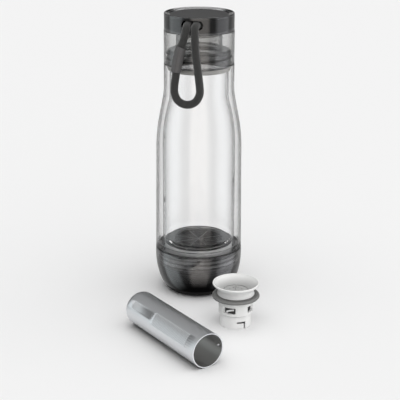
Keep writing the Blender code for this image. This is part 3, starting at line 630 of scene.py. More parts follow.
# %% [markdown]
# ## The outer shell
# The clear outer wall follows the glass at a small distance. Its foot has a flange that sits
# on the base cup's rim and a skirt that screws into the cup. The skirt is seen through the
# smoke of the cup. Its wall between the ridges is an even pale grey, painted light for what
# shows through it, and its ridges are dark with painted shade. This keeps the rings of the
# thread readable.

# %% Outer shell
GAP = 0.3 * MM
AIR_GAP = 3.7 * MM
SHELL_WALL = 1.8 * MM
SHELL_FLANGE = 2.2 * MM
SHELL_EDGE = 0.35 * MM
SHOULDER_LEAD = 1.0 * MM
SHOULDER_LAG = 7.0 * MM
SHELL_LOW_SHARE = 0.47
SHELL_TOP_SHARE = 0.27
SKIRT_WALL = 2.1 * MM
BASE_PITCH = 3.7 * MM
SKIRT_TURNS = 3.0
THREAD_FIT = 0.4 * MM
CUP_RIM_WALL = 2.0 * MM
RIDGE_FOOT = THREAD_HEIGHT / 10

seam_r = radius("outer_shell")
shell_top_z = top("outer_shell")
skirt_z = bottom("outer_shell")
shoulder_r = glass_r + AIR_GAP + SHELL_WALL
flange_r = radius("neck_collar")
neck_bore_r = flange_r + GAP
neck_r = neck_bore_r + SHELL_WALL
flange_z = top("base_cup") + GAP
cup_bore_r = seam_r - CUP_RIM_WALL
skirt_r = cup_bore_r - THREAD_FIT - THREAD_HEIGHT
skirt_bore_r = skirt_r - SKIRT_WALL
shoulder_z = glass_shoulder_z - SHOULDER_LEAD
neck_z = glass_neck_z + SHOULDER_LAG
rise = neck_z - shoulder_z
outside = bezier((neck_r, neck_z), (neck_r, neck_z - rise * SHELL_TOP_SHARE),
                 (shoulder_r, shoulder_z + rise * SHELL_LOW_SHARE),
                 (shoulder_r, shoulder_z))
inside = list(reversed(inset(outside, SHELL_WALL)))
outer_shell = lathe("clear_shell", rounded([
    (neck_r, shell_top_z, SHELL_EDGE),
    *outside,
    (seam_r, flange_z, SHELL_EDGE),
    (skirt_r, flange_z),
    (skirt_r, skirt_z, SHELL_EDGE),
    (skirt_bore_r, skirt_z, SHELL_EDGE),
    (skirt_bore_r, flange_z + SHELL_FLANGE),
    (seam_r - SHELL_WALL, flange_z + 2 * SHELL_FLANGE),
    *inside,
    (neck_bore_r, shell_top_z, SHELL_EDGE),
]))
thread(outer_shell, skirt_r, skirt_z + THREAD_HEIGHT, BASE_PITCH, SKIRT_TURNS)
settle(outer_shell, "shell", "clear_plastic", clear_plastic, "outer_shell")


def on_thread(face, wall_radius, low_z, high_z):
    """Whether a face is on the ridge of a thread, and not on the round wall under it."""
    return low_z < face_height(face) < high_z and face_radius(face) > wall_radius + RIDGE_FOOT


def on_wall(face, wall_radius, low_z, high_z):
    """Whether a face is on the outside of the round wall between the ridges."""
    return (low_z < face_height(face) < high_z and abs(face.normal.z) < UPRIGHT
            and abs(face_radius(face) - wall_radius) < RIDGE_FOOT)


# Painted shade on the ridges, and painted light on the wall between them.
dress(outer_shell, thread_shade,
      lambda face: on_thread(face, skirt_r, skirt_z + SHELL_EDGE, flange_z + WELD))
dress(outer_shell, skirt_painted_light, lambda face: on_wall(face, skirt_r, skirt_z, flange_z))

# %% [markdown]
# ## The base cup and its foot
# The smoke cup is a deep bowl with a threaded bore. Its outer side is one long curve from
# the rim to the heel, and its inner side is the same curve one wall further in, cut off where
# the bore starts. Its underside gets the black of the foot as painted shade for the contact
# shadow under it, so that no light comes up through it.

# %% Base cup
PAD_THICK = 2.6 * MM
PAD_EDGE = 0.7 * MM
CUP_FLOOR = 2.2 * MM
CUP_WALL = 2.6 * MM
CUP_PROUD = 0.1 * MM
CUP_BULGE = 0.1 * MM
CUP_BULGE_DROP = 6.5 * MM
CUP_LAND = 2.5 * MM
CUP_SIDE_SHARE = 0.58
CUP_HEEL_SHARE = 0.40
CUP_REBATE_DEPTH = 2.1 * MM
CUP_REBATE_REACH = 0.8 * MM
CUP_SHOULDER = 0.7 * MM
CUP_RIM_EDGE = 0.3 * MM
CUP_RIM_ROUND = 0.9 * MM
CUP_SHADOW_EDGE = 6 * MM
CUP_TURNS = 1.25

pad_r = radius("foot_pad")
underside = bottom("base_cup")
seam_z = top("base_cup")
rim_r = seam_r + CUP_PROUD
widest_r = rim_r + CUP_BULGE
widest_z = seam_z - CUP_BULGE_DROP
pocket_r = pad_r + GAP
heel_r = pocket_r + CUP_LAND
cup_floor_z = PAD_THICK + GAP + CUP_FLOOR
side = bezier((widest_r, widest_z),
              (widest_r, widest_z - (widest_z - underside) * CUP_SIDE_SHARE),
              (heel_r + (widest_r - heel_r) * CUP_HEEL_SHARE, underside),
              (heel_r, underside))
step_z = skirt_z - CUP_SHOULDER
bowl = [point for point in reversed(inset(side, CUP_WALL))
        if cup_floor_z < point[1] < step_z - CUP_SHOULDER]
rebate_r = cup_bore_r + CUP_REBATE_REACH
rebate_z = seam_z - CUP_REBATE_DEPTH
base_cup = lathe("smoke_cup", rounded([
    (0, cup_floor_z),
    (bowl[0][0] - CUP_SHOULDER, cup_floor_z),
    *bowl,
    (bowl[-1][0], step_z),
    (cup_bore_r, step_z),
    (cup_bore_r, rebate_z),
    (rebate_r, rebate_z),
    (rebate_r, seam_z),
    (rim_r, seam_z, CUP_RIM_ROUND),
    *side,
    (pocket_r, underside),
    (pocket_r, PAD_THICK + GAP),
    (0, PAD_THICK + GAP),
]))
thread(base_cup, cup_bore_r, skirt_z + THREAD_HEIGHT + BASE_PITCH / 2, BASE_PITCH, CUP_TURNS)
settle(base_cup, "base", "smoke_plastic", cup_smoke_and_shade, "base_cup")
# Painted shade: the lowest faces of the cup are black, for the contact shadow under the heel.
dress(base_cup, foot_rubber_and_shade, lambda face: face_height(face) < CUP_SHADOW_EDGE)

# %% Foot
foot = lathe("rubber_foot", rounded([
    (0, PAD_THICK), (pad_r, PAD_THICK, CUP_RIM_EDGE), (pad_r, 0, PAD_EDGE), (0, 0),
]))
settle(foot, "base", "black_rubber", foot_rubber_and_shade, "foot_pad")

# %% [markdown]
# ## The seat under the glass
# A smoke drum stands in the cup and carries the glass. Ribs under its deck keep it flat.
# Moulded ribs leave a star of fine lines on the upper side, half-way between them, so bars
# are fused to the drum twice: deep ones under the deck and low ones on it.

# %% Core seat
SEAT_TAPER_HEIGHT = 8.0 * MM
SEAT_TAPER = 3.6 * MM
SEAT_WALL = 1.8 * MM
SEAT_EDGE = 0.3 * MM
SEAT_RIB = 1.2 * MM
SEAT_RIB_DEPTH = 6.0 * MM
SEAT_RIBS = 8
SEAT_HUB_R = 7.0 * MM
SEAT_HUB_SIDES = 48
SEAT_SUNK = 0.3 * MM
SEAT_LINE = 0.7 * MM
SEAT_LINE_TOP = 0.05 * MM

seat_r = radius("core_seat")
seat_z = bottom("core_seat")
deck_z = top("core_seat")
seat_foot_r = seat_r - SEAT_TAPER
taper_z = seat_z + SEAT_TAPER_HEIGHT
core_seat = lathe("glass_seat", rounded([
    (0, deck_z - SEAT_SUNK),
    (seat_r - SEAT_WALL, deck_z - SEAT_SUNK),
    (seat_r - SEAT_WALL, deck_z),
    (seat_r, deck_z, SEAT_EDGE),
    (seat_r, taper_z, SEAT_EDGE),
    (seat_foot_r, seat_z),
    (seat_foot_r - SEAT_WALL, seat_z),
    (seat_r - SEAT_WALL, taper_z, SEAT_EDGE),
    (seat_r - SEAT_WALL, deck_z - SEAT_WALL),
    (0, deck_z - SEAT_WALL),
]))


def fuse_star(middle_z, offset, width, depth):
    """Fuses bars as long as the drum is wide, turned by a share of the rib's own step."""
    for index in range(SEAT_RIBS // 2):
        deselect()
        bpy.ops.mesh.primitive_cube_add(size=1, location=(0, 0, middle_z),
                                        rotation=(0, 0, (index + offset) * TURN / SEAT_RIBS))
        bar = bpy.context.object
        bar.scale = (2 * seat_r - SEAT_WALL, width, depth)
        combine(core_seat, bar, "UNION")


web_height = SEAT_RIB_DEPTH + SEAT_WALL / 2
web_z = deck_z - SEAT_WALL / 2 - web_height / 2
fuse_star(web_z, 0, SEAT_RIB, web_height)
fuse_star(deck_z - SEAT_SUNK - SEAT_LINE_TOP, 0.5, SEAT_LINE, 2 * SEAT_SUNK)
deselect()
bpy.ops.mesh.primitive_cylinder_add(vertices=SEAT_HUB_SIDES, radius=SEAT_HUB_R,
                                    depth=web_height, location=(0, 0, web_z))
combine(core_seat, bpy.context.object, "UNION")
settle(core_seat, "base", "smoke_plastic", drum_smoke, "core_seat")


def on_drum_side(face):
    """Whether a face is on the drum's round outer side, and not its deck or ribs."""
    return (face_radius(face) > seat_foot_r and abs(face.normal.z) < SIDE
            and face.normal.xy.dot(face.calc_center_median().xy) > 0)


# Painted light: the drum's round side is a pale grey, for the light caught by the clear foot of
# the shell in front of it.
dress(core_seat, drum_painted_light, on_drum_side)
dress(core_seat, plate_white, lambda face: face.normal.z > LEVEL
      and deck_z - SEAT_SUNK + WELD < face_height(face) < deck_z - WELD)

# %% [markdown]
# ## Collar, gasket and spout
# A threaded smoke collar closes the neck. A tapered silicone gasket seals it to the glass
# mouth, and a clear spout stands in it. All three are turned, and only the collar gets a
# ridge, which is painted dark with shade like those in the cup.

# %% Collar
COLLAR_FLANGE = 2.2 * MM
COLLAR_WALL = 2.7 * MM
COLLAR_EDGE = 2.0 * MM
COLLAR_DECK = 2.4 * MM
COLLAR_LEDGE = 1.0 * MM
SPOUT_LIFT = 8.5 * MM
SPOUT_WALL = 1.8 * MM
SPOUT_FLANGE = 1.9 * MM
SPOUT_R = 19.8 * MM
SPOUT_LIP = 0.8 * MM
CAP_PITCH = 5.0 * MM
COLLAR_TURNS = 1.6
SMALL_EDGE = 0.3 * MM

collar_z = bottom("neck_collar")
collar_top_z = top("neck_collar")
collar_deck_z = collar_top_z - COLLAR_DECK
collar_r = flange_r - THREAD_HEIGHT
slot_r = collar_r - COLLAR_WALL
foot_bore_r = slot_r - COLLAR_LEDGE
flange_top = collar_z + COLLAR_FLANGE
collar = lathe("smoke_collar", rounded([
    (SPOUT_R + GAP, collar_top_z, SMALL_EDGE),
    (collar_r, collar_top_z, COLLAR_EDGE),
    (collar_r, flange_top),
    (flange_r, flange_top, SMALL_EDGE),
    (flange_r, collar_z, SMALL_EDGE),
    (foot_bore_r, collar_z),
    (foot_bore_r, collar_z + SPOUT_LIFT),
    (slot_r, collar_z + SPOUT_LIFT),
    (slot_r, collar_deck_z),
    (SPOUT_R + GAP, collar_deck_z),
]))
thread(collar, collar_r, flange_top + THREAD_HEIGHT, CAP_PITCH, COLLAR_TURNS)
settle(collar, "shell", "smoke_plastic", collar_smoke, "neck_collar")
# Painted shade on the collar's ridge.
dress(collar, thread_shade, lambda face: on_thread(
    face, collar_r, flange_top + SMALL_EDGE, collar_top_z - COLLAR_EDGE))

# %% Gasket and spout
GASKET_TAPER = 1.2 * MM

gasket_z = bottom("collar_gasket")
gasket_top_z = top("collar_gasket")
gasket_r = radius("collar_gasket")
gasket = lathe("tapered_gasket", rounded([
    (gasket_r, gasket_top_z, SMALL_EDGE), (gasket_r - GASKET_TAPER, gasket_z, SMALL_EDGE),
    (foot_bore_r, gasket_z), (foot_bore_r, gasket_top_z),
]))
settle(gasket, "shell", "grey_silicone", grey_silicone, "collar_gasket")

spout_z = bottom("spout")
spout_top_z = top("spout")
spout = lathe("clear_spout", rounded([
    (SPOUT_R, spout_top_z, SPOUT_LIP),
    (SPOUT_R, spout_z + SPOUT_FLANGE),
    (slot_r - GAP, spout_z + SPOUT_FLANGE),
    (slot_r - GAP, spout_z),
    (SPOUT_R - SPOUT_WALL, spout_z),
    (SPOUT_R - SPOUT_WALL, spout_top_z, SPOUT_LIP),
]))
settle(spout, "shell", "clear_plastic", skirt_plastic, "spout")

# %% [markdown]
# ## The cap
# The cap is a clear skirt under a smoke top. The cord comes out of an oval hole in the smoke
# band, and a thin disc closes the pocket behind it. The top slopes inwards a little from its
# rim to a flat dish. The hole is a cylinder whose two halves are moved apart in edit mode
# until it is oval, and a Boolean cuts it out.

# %% Cap
CAP_FIT = 0.5 * MM
CAP_DECK = 2.2 * MM
CAP_BODY_WALL = 3.7 * MM
CAP_EDGE = 0.6 * MM
TOP_SLOPE = math.tan(math.radians(18))
CAP_LEDGE = 1.0 * MM
DISC_PLATE = 0.45 * MM
DISC_RIM = 2.0 * MM
DISC_EDGE = 0.4 * MM
HOLE_AZIMUTH = math.radians(-12)
HOLE_WIDTH = 18.5 * MM
HOLE_HEIGHT = 7.8 * MM
HOLE_HEADROOM = 0.2 * MM
HOLE_SIDES = 64
OVERRUN = 2.0 * MM
RIM_HOLD = 2 * CAP_EDGE

cap_z = bottom("cap_body")
cap_top_z = top("cap_body")
cap_r = radius("cap_body")
disc_z = bottom("cap_top_disc")
pocket_z = cap_z + CAP_DECK
cap_pocket_r = cap_r - CAP_BODY_WALL
ledge_r = cap_pocket_r + CAP_LEDGE
hole_z = disc_z - GAP - HOLE_HEADROOM - HOLE_HEIGHT / 2
outwards = Vector((math.sin(HOLE_AZIMUTH), -math.cos(HOLE_AZIMUTH), 0))
sideways = Vector((math.cos(HOLE_AZIMUTH), math.sin(HOLE_AZIMUTH), 0))


def at_hole(along, out, height):
    """A place from one given along the rim, out from the axis and up."""
    return sideways * along + outwards * out + Vector((0, 0, height))


cap_body = lathe("smoke_cap", rounded([
    (0, pocket_z),
    (cap_pocket_r, pocket_z),
    (cap_pocket_r, disc_z - GAP),
    (ledge_r, disc_z - GAP),
    (ledge_r, cap_top_z - (cap_r - ledge_r) * TOP_SLOPE, SMALL_EDGE),
    (cap_r - RIM_HOLD, cap_top_z - RIM_HOLD * TOP_SLOPE),
    (cap_r, cap_top_z, CAP_EDGE),
    (cap_r, cap_z, SMALL_EDGE),
    (0, cap_z),
]))

# %% Cord hole
half_step = TURN / HOLE_SIDES / 2
deselect()
bpy.ops.mesh.primitive_cylinder_add(vertices=HOLE_SIDES, radius=HOLE_HEIGHT / 2,
                                    depth=CAP_BODY_WALL + 2 * OVERRUN,
                                    rotation=(TURN / 4, half_step, 0))
hole = bpy.context.object
bpy.ops.object.transform_apply(rotation=True)
spread_x = (HOLE_WIDTH - HOLE_HEIGHT) / 2
for side in (1, -1):
    choose(hole, "verts", lambda vertex: vertex.co.x * side > 0)
    bpy.ops.transform.translate(value=(side * spread_x, 0, 0))
    leave_edit()
hole.location = at_hole(0, cap_r - CAP_BODY_WALL / 2, hole_z)
hole.rotation_euler.z = HOLE_AZIMUTH
combine(cap_body, hole, "DIFFERENCE")
settle(cap_body, "cap", "smoke_plastic", smoke_plastic, "cap_body")


def in_pocket(face):
    """Whether a face looks into the pocket or the hole, and not out of the cap."""
    return (pocket_z - WELD < face_height(face) < disc_z - GAP / 2
            and face_radius(face) < cap_r - 2 * WELD)


# Painted shade: the pocket and the sides of the hole are black, for the shade inside the cap.
dress(cap_body, pocket_shade, in_pocket)

# %% Disc and clear skirt
disc_r = radius("cap_top_disc")
disc_edge_z = cap_top_z - (cap_r - disc_r) * TOP_SLOPE
disc = lathe("smoke_disc", rounded([
    (0, disc_z + DISC_PLATE),
    (disc_r - DISC_RIM, disc_z + DISC_PLATE),
    (disc_r - DISC_RIM, disc_edge_z - DISC_RIM * TOP_SLOPE, DISC_EDGE),
    (disc_r, disc_edge_z, SMALL_EDGE / 2),
    (disc_r, disc_z),
    (0, disc_z),
]))
settle(disc, "cap", "smoke_plastic", smoke_plastic, "cap_top_disc")
dress(disc, dish_grey, lambda face: face.normal.z > LEVEL
      and face_radius(face) < disc_r - DISC_RIM)

skirt_low_z = bottom("cap_skirt")
skirt_top_z = top("cap_skirt")
cap_skirt_r = radius("cap_skirt")
cap_bore_r = flange_r + CAP_FIT
skirt = lathe("clear_skirt", rounded([
    (cap_skirt_r, skirt_top_z, SMALL_EDGE),
    (cap_skirt_r, skirt_low_z, 2 * SMALL_EDGE),
    (cap_bore_r, skirt_low_z, SMALL_EDGE),
    (cap_bore_r, skirt_top_z),
]))
settle(skirt, "cap", "clear_plastic", skirt_plastic, "cap_skirt")

# %% [markdown]
# ## Seals and the slip washer
# The clear skirt shows the edge of the cap's seal and of the thin washer that lets the cap
# turn on it. A cushion ring under the glass and a seal in the base's seam show as fine lines.

# %% Rings
def ring(name, node, bore_radius, edge, slot, finish, body):
    high = top(node)
    low = bottom(node)
    outer = radius(node)
    piece = lathe(name, rounded([
        (outer, high, edge), (outer, low, edge), (bore_radius, low, edge),
        (bore_radius, high, edge),
    ]))
    return settle(piece, body, slot, finish, node)


CAP_SEAL_LAP = 1.5 * MM
WASHER_LAP = 1.0 * MM
CUSHION_WIDTH = 6.0 * MM
SEAM_ROUND = 0.7
spout_bore_r = SPOUT_R - SPOUT_WALL
ring("cap_seal_ring", "cap_seal", spout_bore_r - CAP_SEAL_LAP, SMALL_EDGE,
     "grey_silicone", grey_silicone, "cap_seal")
ring("washer_ring", "slip_washer", spout_bore_r - WASHER_LAP, SMALL_EDGE,
     "white_plastic", white_plastic, "slip_washer")
ring("cushion_ring", "core_cushion", radius("core_cushion") - CUSHION_WIDTH, SMALL_EDGE,
     "dark_silicone", ring_silicone, "base")
# The seam's seal is black rubber, and its black also serves as painted shade in the seam's gap.
seal_section_r = (top("base_seal") - bottom("base_seal")) / 2
ring("seam_seal", "base_seal", radius("base_seal") - 2 * seal_section_r,
     SEAM_ROUND * seal_section_r, "black_rubber", foot_rubber_and_shade, "base_seal")

# %% [markdown]
# ## The carry cord
# The cord goes round a post inside the cap, comes out of the oval hole as two strands and
# hangs in a loop in front of the shoulder. Its route is a smooth curve through a few places,
# each given along the rim, out from the axis and up. The part inside the cap and the hanging
# loop are one closed round trip that starts and ends behind the post.

# %% Cord route
CORD_R = 3.4 * MM
ANCHOR_ROUTE = [
    (-0.0037, 0.0306, 0.2430), (-0.0038, 0.0270, 0.2431), (-0.0048, 0.0225, 0.2425),
    (-0.0056, 0.0180, 0.2420), (-0.0050, 0.0141, 0.2420), (-0.0028, 0.0121, 0.2420),
    (0.0000, 0.0114, 0.2420),
    (0.0028, 0.0121, 0.2420), (0.0050, 0.0141, 0.2420), (0.0056, 0.0180, 0.2420),
    (0.0048, 0.0225, 0.2425), (0.0038, 0.0270, 0.2431), (0.0037, 0.0306, 0.2430),
]
LOOP_ROUTE = [
    (-0.0037, 0.0343, 0.2412), (-0.0045, 0.0344, 0.2365), (-0.0064, 0.0343, 0.2300),
    (-0.0083, 0.0342, 0.2245), (-0.0103, 0.0342, 0.2170), (-0.0117, 0.0342, 0.2090),
    (-0.0126, 0.0343, 0.2010), (-0.0137, 0.0344, 0.1930), (-0.0136, 0.0346, 0.1870),
    (-0.0112, 0.0349, 0.1814), (-0.0071, 0.0351, 0.1784), (-0.0029, 0.0352, 0.1776),
    (0.0014, 0.0351, 0.1784), (0.0054, 0.0349, 0.1814), (0.0079, 0.0346, 0.1870),
    (0.0079, 0.0344, 0.1930), (0.0068, 0.0343, 0.2020), (0.0058, 0.0342, 0.2100),
    (0.0047, 0.0342, 0.2180), (0.0040, 0.0343, 0.2260), (0.0037, 0.0344, 0.2340),
    (0.0037, 0.0343, 0.2412),
]
BACK_OF_POST = len(ANCHOR_ROUTE) // 2
CORD_STEP = 0.45 * MM


def smooth_route(points, spacing):
    """Points about a spacing apart on a smooth curve through the route's own points."""
    places = [Vector(point) for point in points]
    route = []
    for index in range(len(places) - 1):
        start, end = places[index], places[index + 1]
        before = places[index - 1] if index else start * 2 - end
        after = places[index + 2] if index + 2 < len(places) else end * 2 - start
        count = max(1, round((end - start).length / spacing))
        for step in range(count):
            share = step / count
            bend = (start * 2 + (end - before) * share
                    + (before * 2 - start * 5 + end * 4 - after) * share ** 2
                    + (start * 3 - before - end * 3 + after) * share ** 3)
            route.append(bend / 2)
    route.append(places[-1])
    return route


cord_points = (ANCHOR_ROUTE[BACK_OF_POST::-1] + LOOP_ROUTE
               + ANCHOR_ROUTE[:BACK_OF_POST - 1:-1])
cord_route = smooth_route([at_hole(*point) for point in cord_points], CORD_STEP)


# %% [markdown]
# ## Sweeping
# A skin along a route needs a centre and two cross directions at each of its points. Carrying
# one cross direction along and squaring it to the route each time keeps the skin from
# twisting. The UV map runs round the skin and along it, in the same scale, so that yarn in
# the finish isn't stretched.

# %% Sweeping
def route_frames(route):
    """A centre, two cross directions and the length so far at each point of a route."""
    frames = []
    across = Vector(AXIS_UP)
    length = 0
    for index, centre in enumerate(route):
        ahead = route[min(index + 1, len(route) - 1)] - route[max(index - 1, 0)]
        ahead.normalize()
        across = (across - ahead * across.dot(ahead)).normalized()
        if index:
            length += (centre - route[index - 1]).length
        frames.append((centre, across.copy(), ahead.cross(across), length))
    return frames


def round_points(frame, sides, reach):
    """Points round one place of a route, as far out as is given for each share of a turn."""
    centre, across, over, length = frame
    points = []
    for side in range(sides):
        angle = TURN * side / sides
        away = across * math.cos(angle) + over * math.sin(angle)
        points.append(centre + away * reach(side / sides))
    return points


def sweep(name, rings, lengths, closed=False):
    """A skin over rings of points, with its UV map round the rings and along them."""
    mesh = bpy.data.meshes.new(name)
    build = bmesh.new()
    rows = [[build.verts.new(point) for point in points] for points in rings]
    uv = build.loops.layers.uv.new("UVMap")
    sides = len(rows[0])
    girth = TURN * (rings[len(rings) // 2][0] - rings[len(rings) // 2][sides // 2]).length / 2
    spans = list(range(len(rows) - 1)) + ([-1] if closed else [])
    for row in spans:
        for side in range(sides):
            following = (side + 1) % sides
            face = build.faces.new((rows[row][side], rows[row][following],
                                    rows[row + 1][following], rows[row + 1][side]))
            face.smooth = True
            shares = (side, side + 1, side + 1, side)
            along = (lengths[row], lengths[row], lengths[row + 1], lengths[row + 1])
            for loop, share, distance in zip(face.loops, shares, along):
                loop[uv].uv = (share / sides, distance / girth)
    if not closed:
        build.faces.new(reversed(rows[0]))
        build.faces.new(rows[-1])
    bmesh.ops.recalc_face_normals(build, faces=build.faces)
    build.to_mesh(mesh)
    build.free()
    piece = bpy.data.objects.new(name, mesh)
    bpy.context.scene.collection.objects.link(piece)
    return piece


# %% [markdown]
# ## The braid
# In a braid half of the strands wind one way and half the other, each over one and under the
# next. The skin is made ring by ring with the weave's height taken off its radius, so the
# strands are real shape. A wave along the UV map stands for the single yarns in a strand.

# %% Braid
BRAID_STRANDS = 12
BRAID_SIDES = 48
BRAID_RELIEF = 0.22 * MM
BRAID_LAY = 17 * MM
CROWN_POWER = 0.6
DIP_LEAST = 0.55


def braid_height(round_share, length):
    """How high the braid stands, from 0 to 1, at a place round the cord and along it."""
    rising = (round_share + length / BRAID_LAY) * BRAID_STRANDS
    falling = (round_share - length / BRAID_LAY) * BRAID_STRANDS
    over, under = rising % 1, falling % 1
    if (math.floor(rising) + math.floor(falling)) % 2:
        over, under = under, over
    crown = math.sin(math.pi * over) ** CROWN_POWER
    dip = DIP_LEAST + (1 - DIP_LEAST) * math.sin(math.pi * under)
    return crown * dip


def braid_points(frame):
    return round_points(frame, BRAID_SIDES,
                        lambda share: CORD_R - BRAID_RELIEF * (1 - braid_height(share, frame[3])))


cord_frames = route_frames(cord_route)
cord = sweep("braided_cord", [braid_points(frame) for frame in cord_frames],
             [frame[3] for frame in cord_frames])
print("cord faces:", len(cord.data.polygons))

# %% Yarn
YARN_SCALE = 26
YARN_DISTORTION = 2.5
YARN_DETAIL = 2
YARN_HEIGHT = 0.05 * MM
charcoal_braid, tree, shader = new_finish("charcoal_braid", (0.035, 0.035, 0.034), 0.8,
                                          Sheen_Weight=0.35, Sheen_Roughness=0.4)
shade = tint(tree, noise(tree, 2.2 * MM), (0.028, 0.028, 0.027), (0.046, 0.046, 0.044))
tree.links.new(shade, shader.inputs["Base Color"])
yarn = tree.nodes.new("ShaderNodeTexWave")
yarn.inputs["Scale"].default_value = YARN_SCALE
yarn.inputs["Distortion"].default_value = YARN_DISTORTION
yarn.inputs["Detail"].default_value = YARN_DETAIL
place = tree.nodes.new("ShaderNodeTexCoord")
tree.links.new(place.outputs["UV"], yarn.inputs["Vector"])
bump(tree, shader, yarn.outputs["Fac"], YARN_HEIGHT)
cord.data.materials.append(charcoal_braid)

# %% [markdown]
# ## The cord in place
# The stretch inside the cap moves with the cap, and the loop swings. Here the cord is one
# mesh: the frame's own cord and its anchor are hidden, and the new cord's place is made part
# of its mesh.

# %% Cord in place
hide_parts("carry_cord", "cord_anchor")
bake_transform(cord)

# %% [markdown]
# ## The sleeve on the cord
# A soft sleeve holds the left strand. It is swept along the same route, out along its outer
# side and back along its bore, with rounded lips and fine ribs.

# %% Cord sleeve
SLEEVE_FIT = 0.3 * MM
SLEEVE_WALL = 0.8 * MM
SLEEVE_TOP = 226.4 * MM
SLEEVE_BOTTOM = 204.6 * MM
SLEEVE_LIP = 0.35 * MM
SLEEVE_SIDES = 72
SLEEVE_RIBS = 18
SLEEVE_RIB_RELIEF = 0.12 * MM

held = [frame for frame in cord_frames[:len(cord_frames) // 2]
        if SLEEVE_BOTTOM <= frame[0].z <= SLEEVE_TOP]
outer_r = CORD_R + SLEEVE_FIT + SLEEVE_WALL
bore_r = CORD_R + SLEEVE_FIT
stations = [(held[0], bore_r + SLEEVE_LIP)]
stations += [(frame, outer_r) for frame in held[1:-1]]
stations += [(held[-1], bore_r + SLEEVE_LIP)]
stations += [(frame, bore_r) for frame in reversed(held)]


def sleeve_points(frame, reach):
    """One ring of the sleeve, ribbed where it is the outer side."""
    relief = SLEEVE_RIB_RELIEF / 2 if reach == outer_r else 0
    return round_points(frame, SLEEVE_SIDES, lambda share: reach - relief
                        * (1 + math.cos(SLEEVE_RIBS * TURN * share)))


sleeve = sweep("strand_sleeve", [sleeve_points(*station) for station in stations],
               [frame[3] for frame, reach in stations], closed=True)
sleeve_plastic = solid_finish("sleeve_plastic", (0.1, 0.097, 0.097), 0.42, 0.5 * MM,
                              0.01 * MM, polish=(3 * MM, 0.34, 0.5))
settle(sleeve, "carry_loop", "sleeve_plastic", sleeve_plastic, "cord_sleeve")
smooth(sleeve)

# %% [markdown]
# ## The infuser tube
# The tube is thin drawn steel with a rounded closed end. It is turned upright first and laid
# down when it is finished. The rows of faces where the filter is etched are spaced like the
# steps round the tube, so that the etched dots are square to both.

# %% Infuser tube
TUBE_R = 14.3 * MM
TUBE_LENGTH = 102.7 * MM
TUBE_WALL = 0.6 * MM
TUBE_HEEL = 5.0 * MM
TUBE_LIP = 0.2 * MM
TUBE_BEAD = 0.85 * MM
TUBE_BEAD_LENGTH = 1.2 * MM
TUBE_MOUTH = (7.8 * MM, -164.1 * MM, TUBE_R)
TUBE_HEADING = math.radians(-55.4)
TUBE_STEPS = 96
ETCH_START = 42 * MM
ETCH_END = 91 * MM
etch_pitch = TURN * TUBE_R / TUBE_STEPS
etch_rows = round((ETCH_END - ETCH_START) / etch_pitch)
tube_bore = TUBE_R - TUBE_WALL
etched_line = [(TUBE_R, ETCH_END - row * etch_pitch) for row in range(etch_rows + 1)]
PANEL_START = 10.9 * MM
PANEL_END = 37.8 * MM
tube = lathe("steel_tube", rounded([
    (0, TUBE_WALL),
    (tube_bore, TUBE_WALL, TUBE_HEEL - TUBE_WALL),
    (tube_bore, TUBE_LENGTH - 2 * TUBE_BEAD_LENGTH),
    (TUBE_R - TUBE_BEAD, TUBE_LENGTH - TUBE_BEAD_LENGTH),
    (TUBE_R - TUBE_BEAD, TUBE_LENGTH, TUBE_LIP),
    (TUBE_R, TUBE_LENGTH, TUBE_LIP),
    *etched_line,
    (TUBE_R, PANEL_END),
    (TUBE_R, PANEL_START),
    (TUBE_R, 0, TUBE_HEEL),
    (0, 0),
]), TUBE_STEPS)
print("etched rows:", etch_rows)

# %% [markdown]
# ## Etching
# The filter is a field of tiny dots on two sides of the tube. Every second face in a
# checker is inset by itself and pushed in a little. The small panel near the closed end is a
# shallow plain recess.

# %% Etched field
ETCH_MIDDLE = math.radians(239)
ETCH_HALF_ARC = math.radians(20)
PANEL_MIDDLE = math.radians(235)
PANEL_HALF_ARC = math.radians(12.5)
ETCH_FIELDS = 2
ETCH_INSET = 0.06 * MM
ETCH_DEPTH = 0.18 * MM
PANEL_DEPTH = 0.08 * MM


def on_side(face, middle, half_arc):
    """Whether a face lies on the outer wall within an arc."""
    if face_radius(face) < TUBE_R - TUBE_WALL / 2:
        return False
    centre = face.calc_center_median()
    angle = (math.atan2(centre.y, centre.x) - middle) % TURN
    return min(angle, TURN - angle) < half_arc


def etched(face):
    """Whether a face is one of the dots: every second one of a field, like a checker."""
    centre = face.calc_center_median()
    row = math.floor((ETCH_END - centre.z) / etch_pitch)
    column = round((math.atan2(centre.y, centre.x) % TURN) / TURN * TUBE_STEPS - 0.5)
    if not 0 <= row < etch_rows or (row + column) % 2:
        return False
    return any(on_side(face, ETCH_MIDDLE + field * TURN / ETCH_FIELDS, ETCH_HALF_ARC)
               for field in range(ETCH_FIELDS))


def in_panel(face):
    return (PANEL_START < face_height(face) < PANEL_END
            and on_side(face, PANEL_MIDDLE, PANEL_HALF_ARC))


# %% [markdown]
# ## Metal finishes
# Drawn steel is a satin mirror: fully metallic, with a fine noise for both its polish and its
# grain. The etched dots are a little duller. The bore is painted darker, painted shade for a
# bore that only mirrors itself. The ground edge of the mouth is a little shinier than the
# wall, and its lighter colour is also a painted highlight.

# %% Metal finishes
satin_metal, tree, shader = new_finish("satin_metal", (0.72, 0.735, 0.75), 0.36, Metallic=1.0)
brushed = noise(tree, 0.5 * MM, 4)
tree.links.new(spread(tree, brushed, 0.3, 0.42), shader.inputs["Roughness"])
bump(tree, shader, brushed, 0.004 * MM)
etched_metal = solid_finish("etched_metal", (0.6, 0.61, 0.62), 0.46, 0.3 * MM, 0.01 * MM,
                            Metallic=1.0)
# Painted shade: the bore's darker steel.
bore_painted_shade = solid_finish("bore_painted_shade", (0.28, 0.28, 0.27), 0.42, 0.5 * MM, 0.004 * MM,
                          Metallic=1.0)
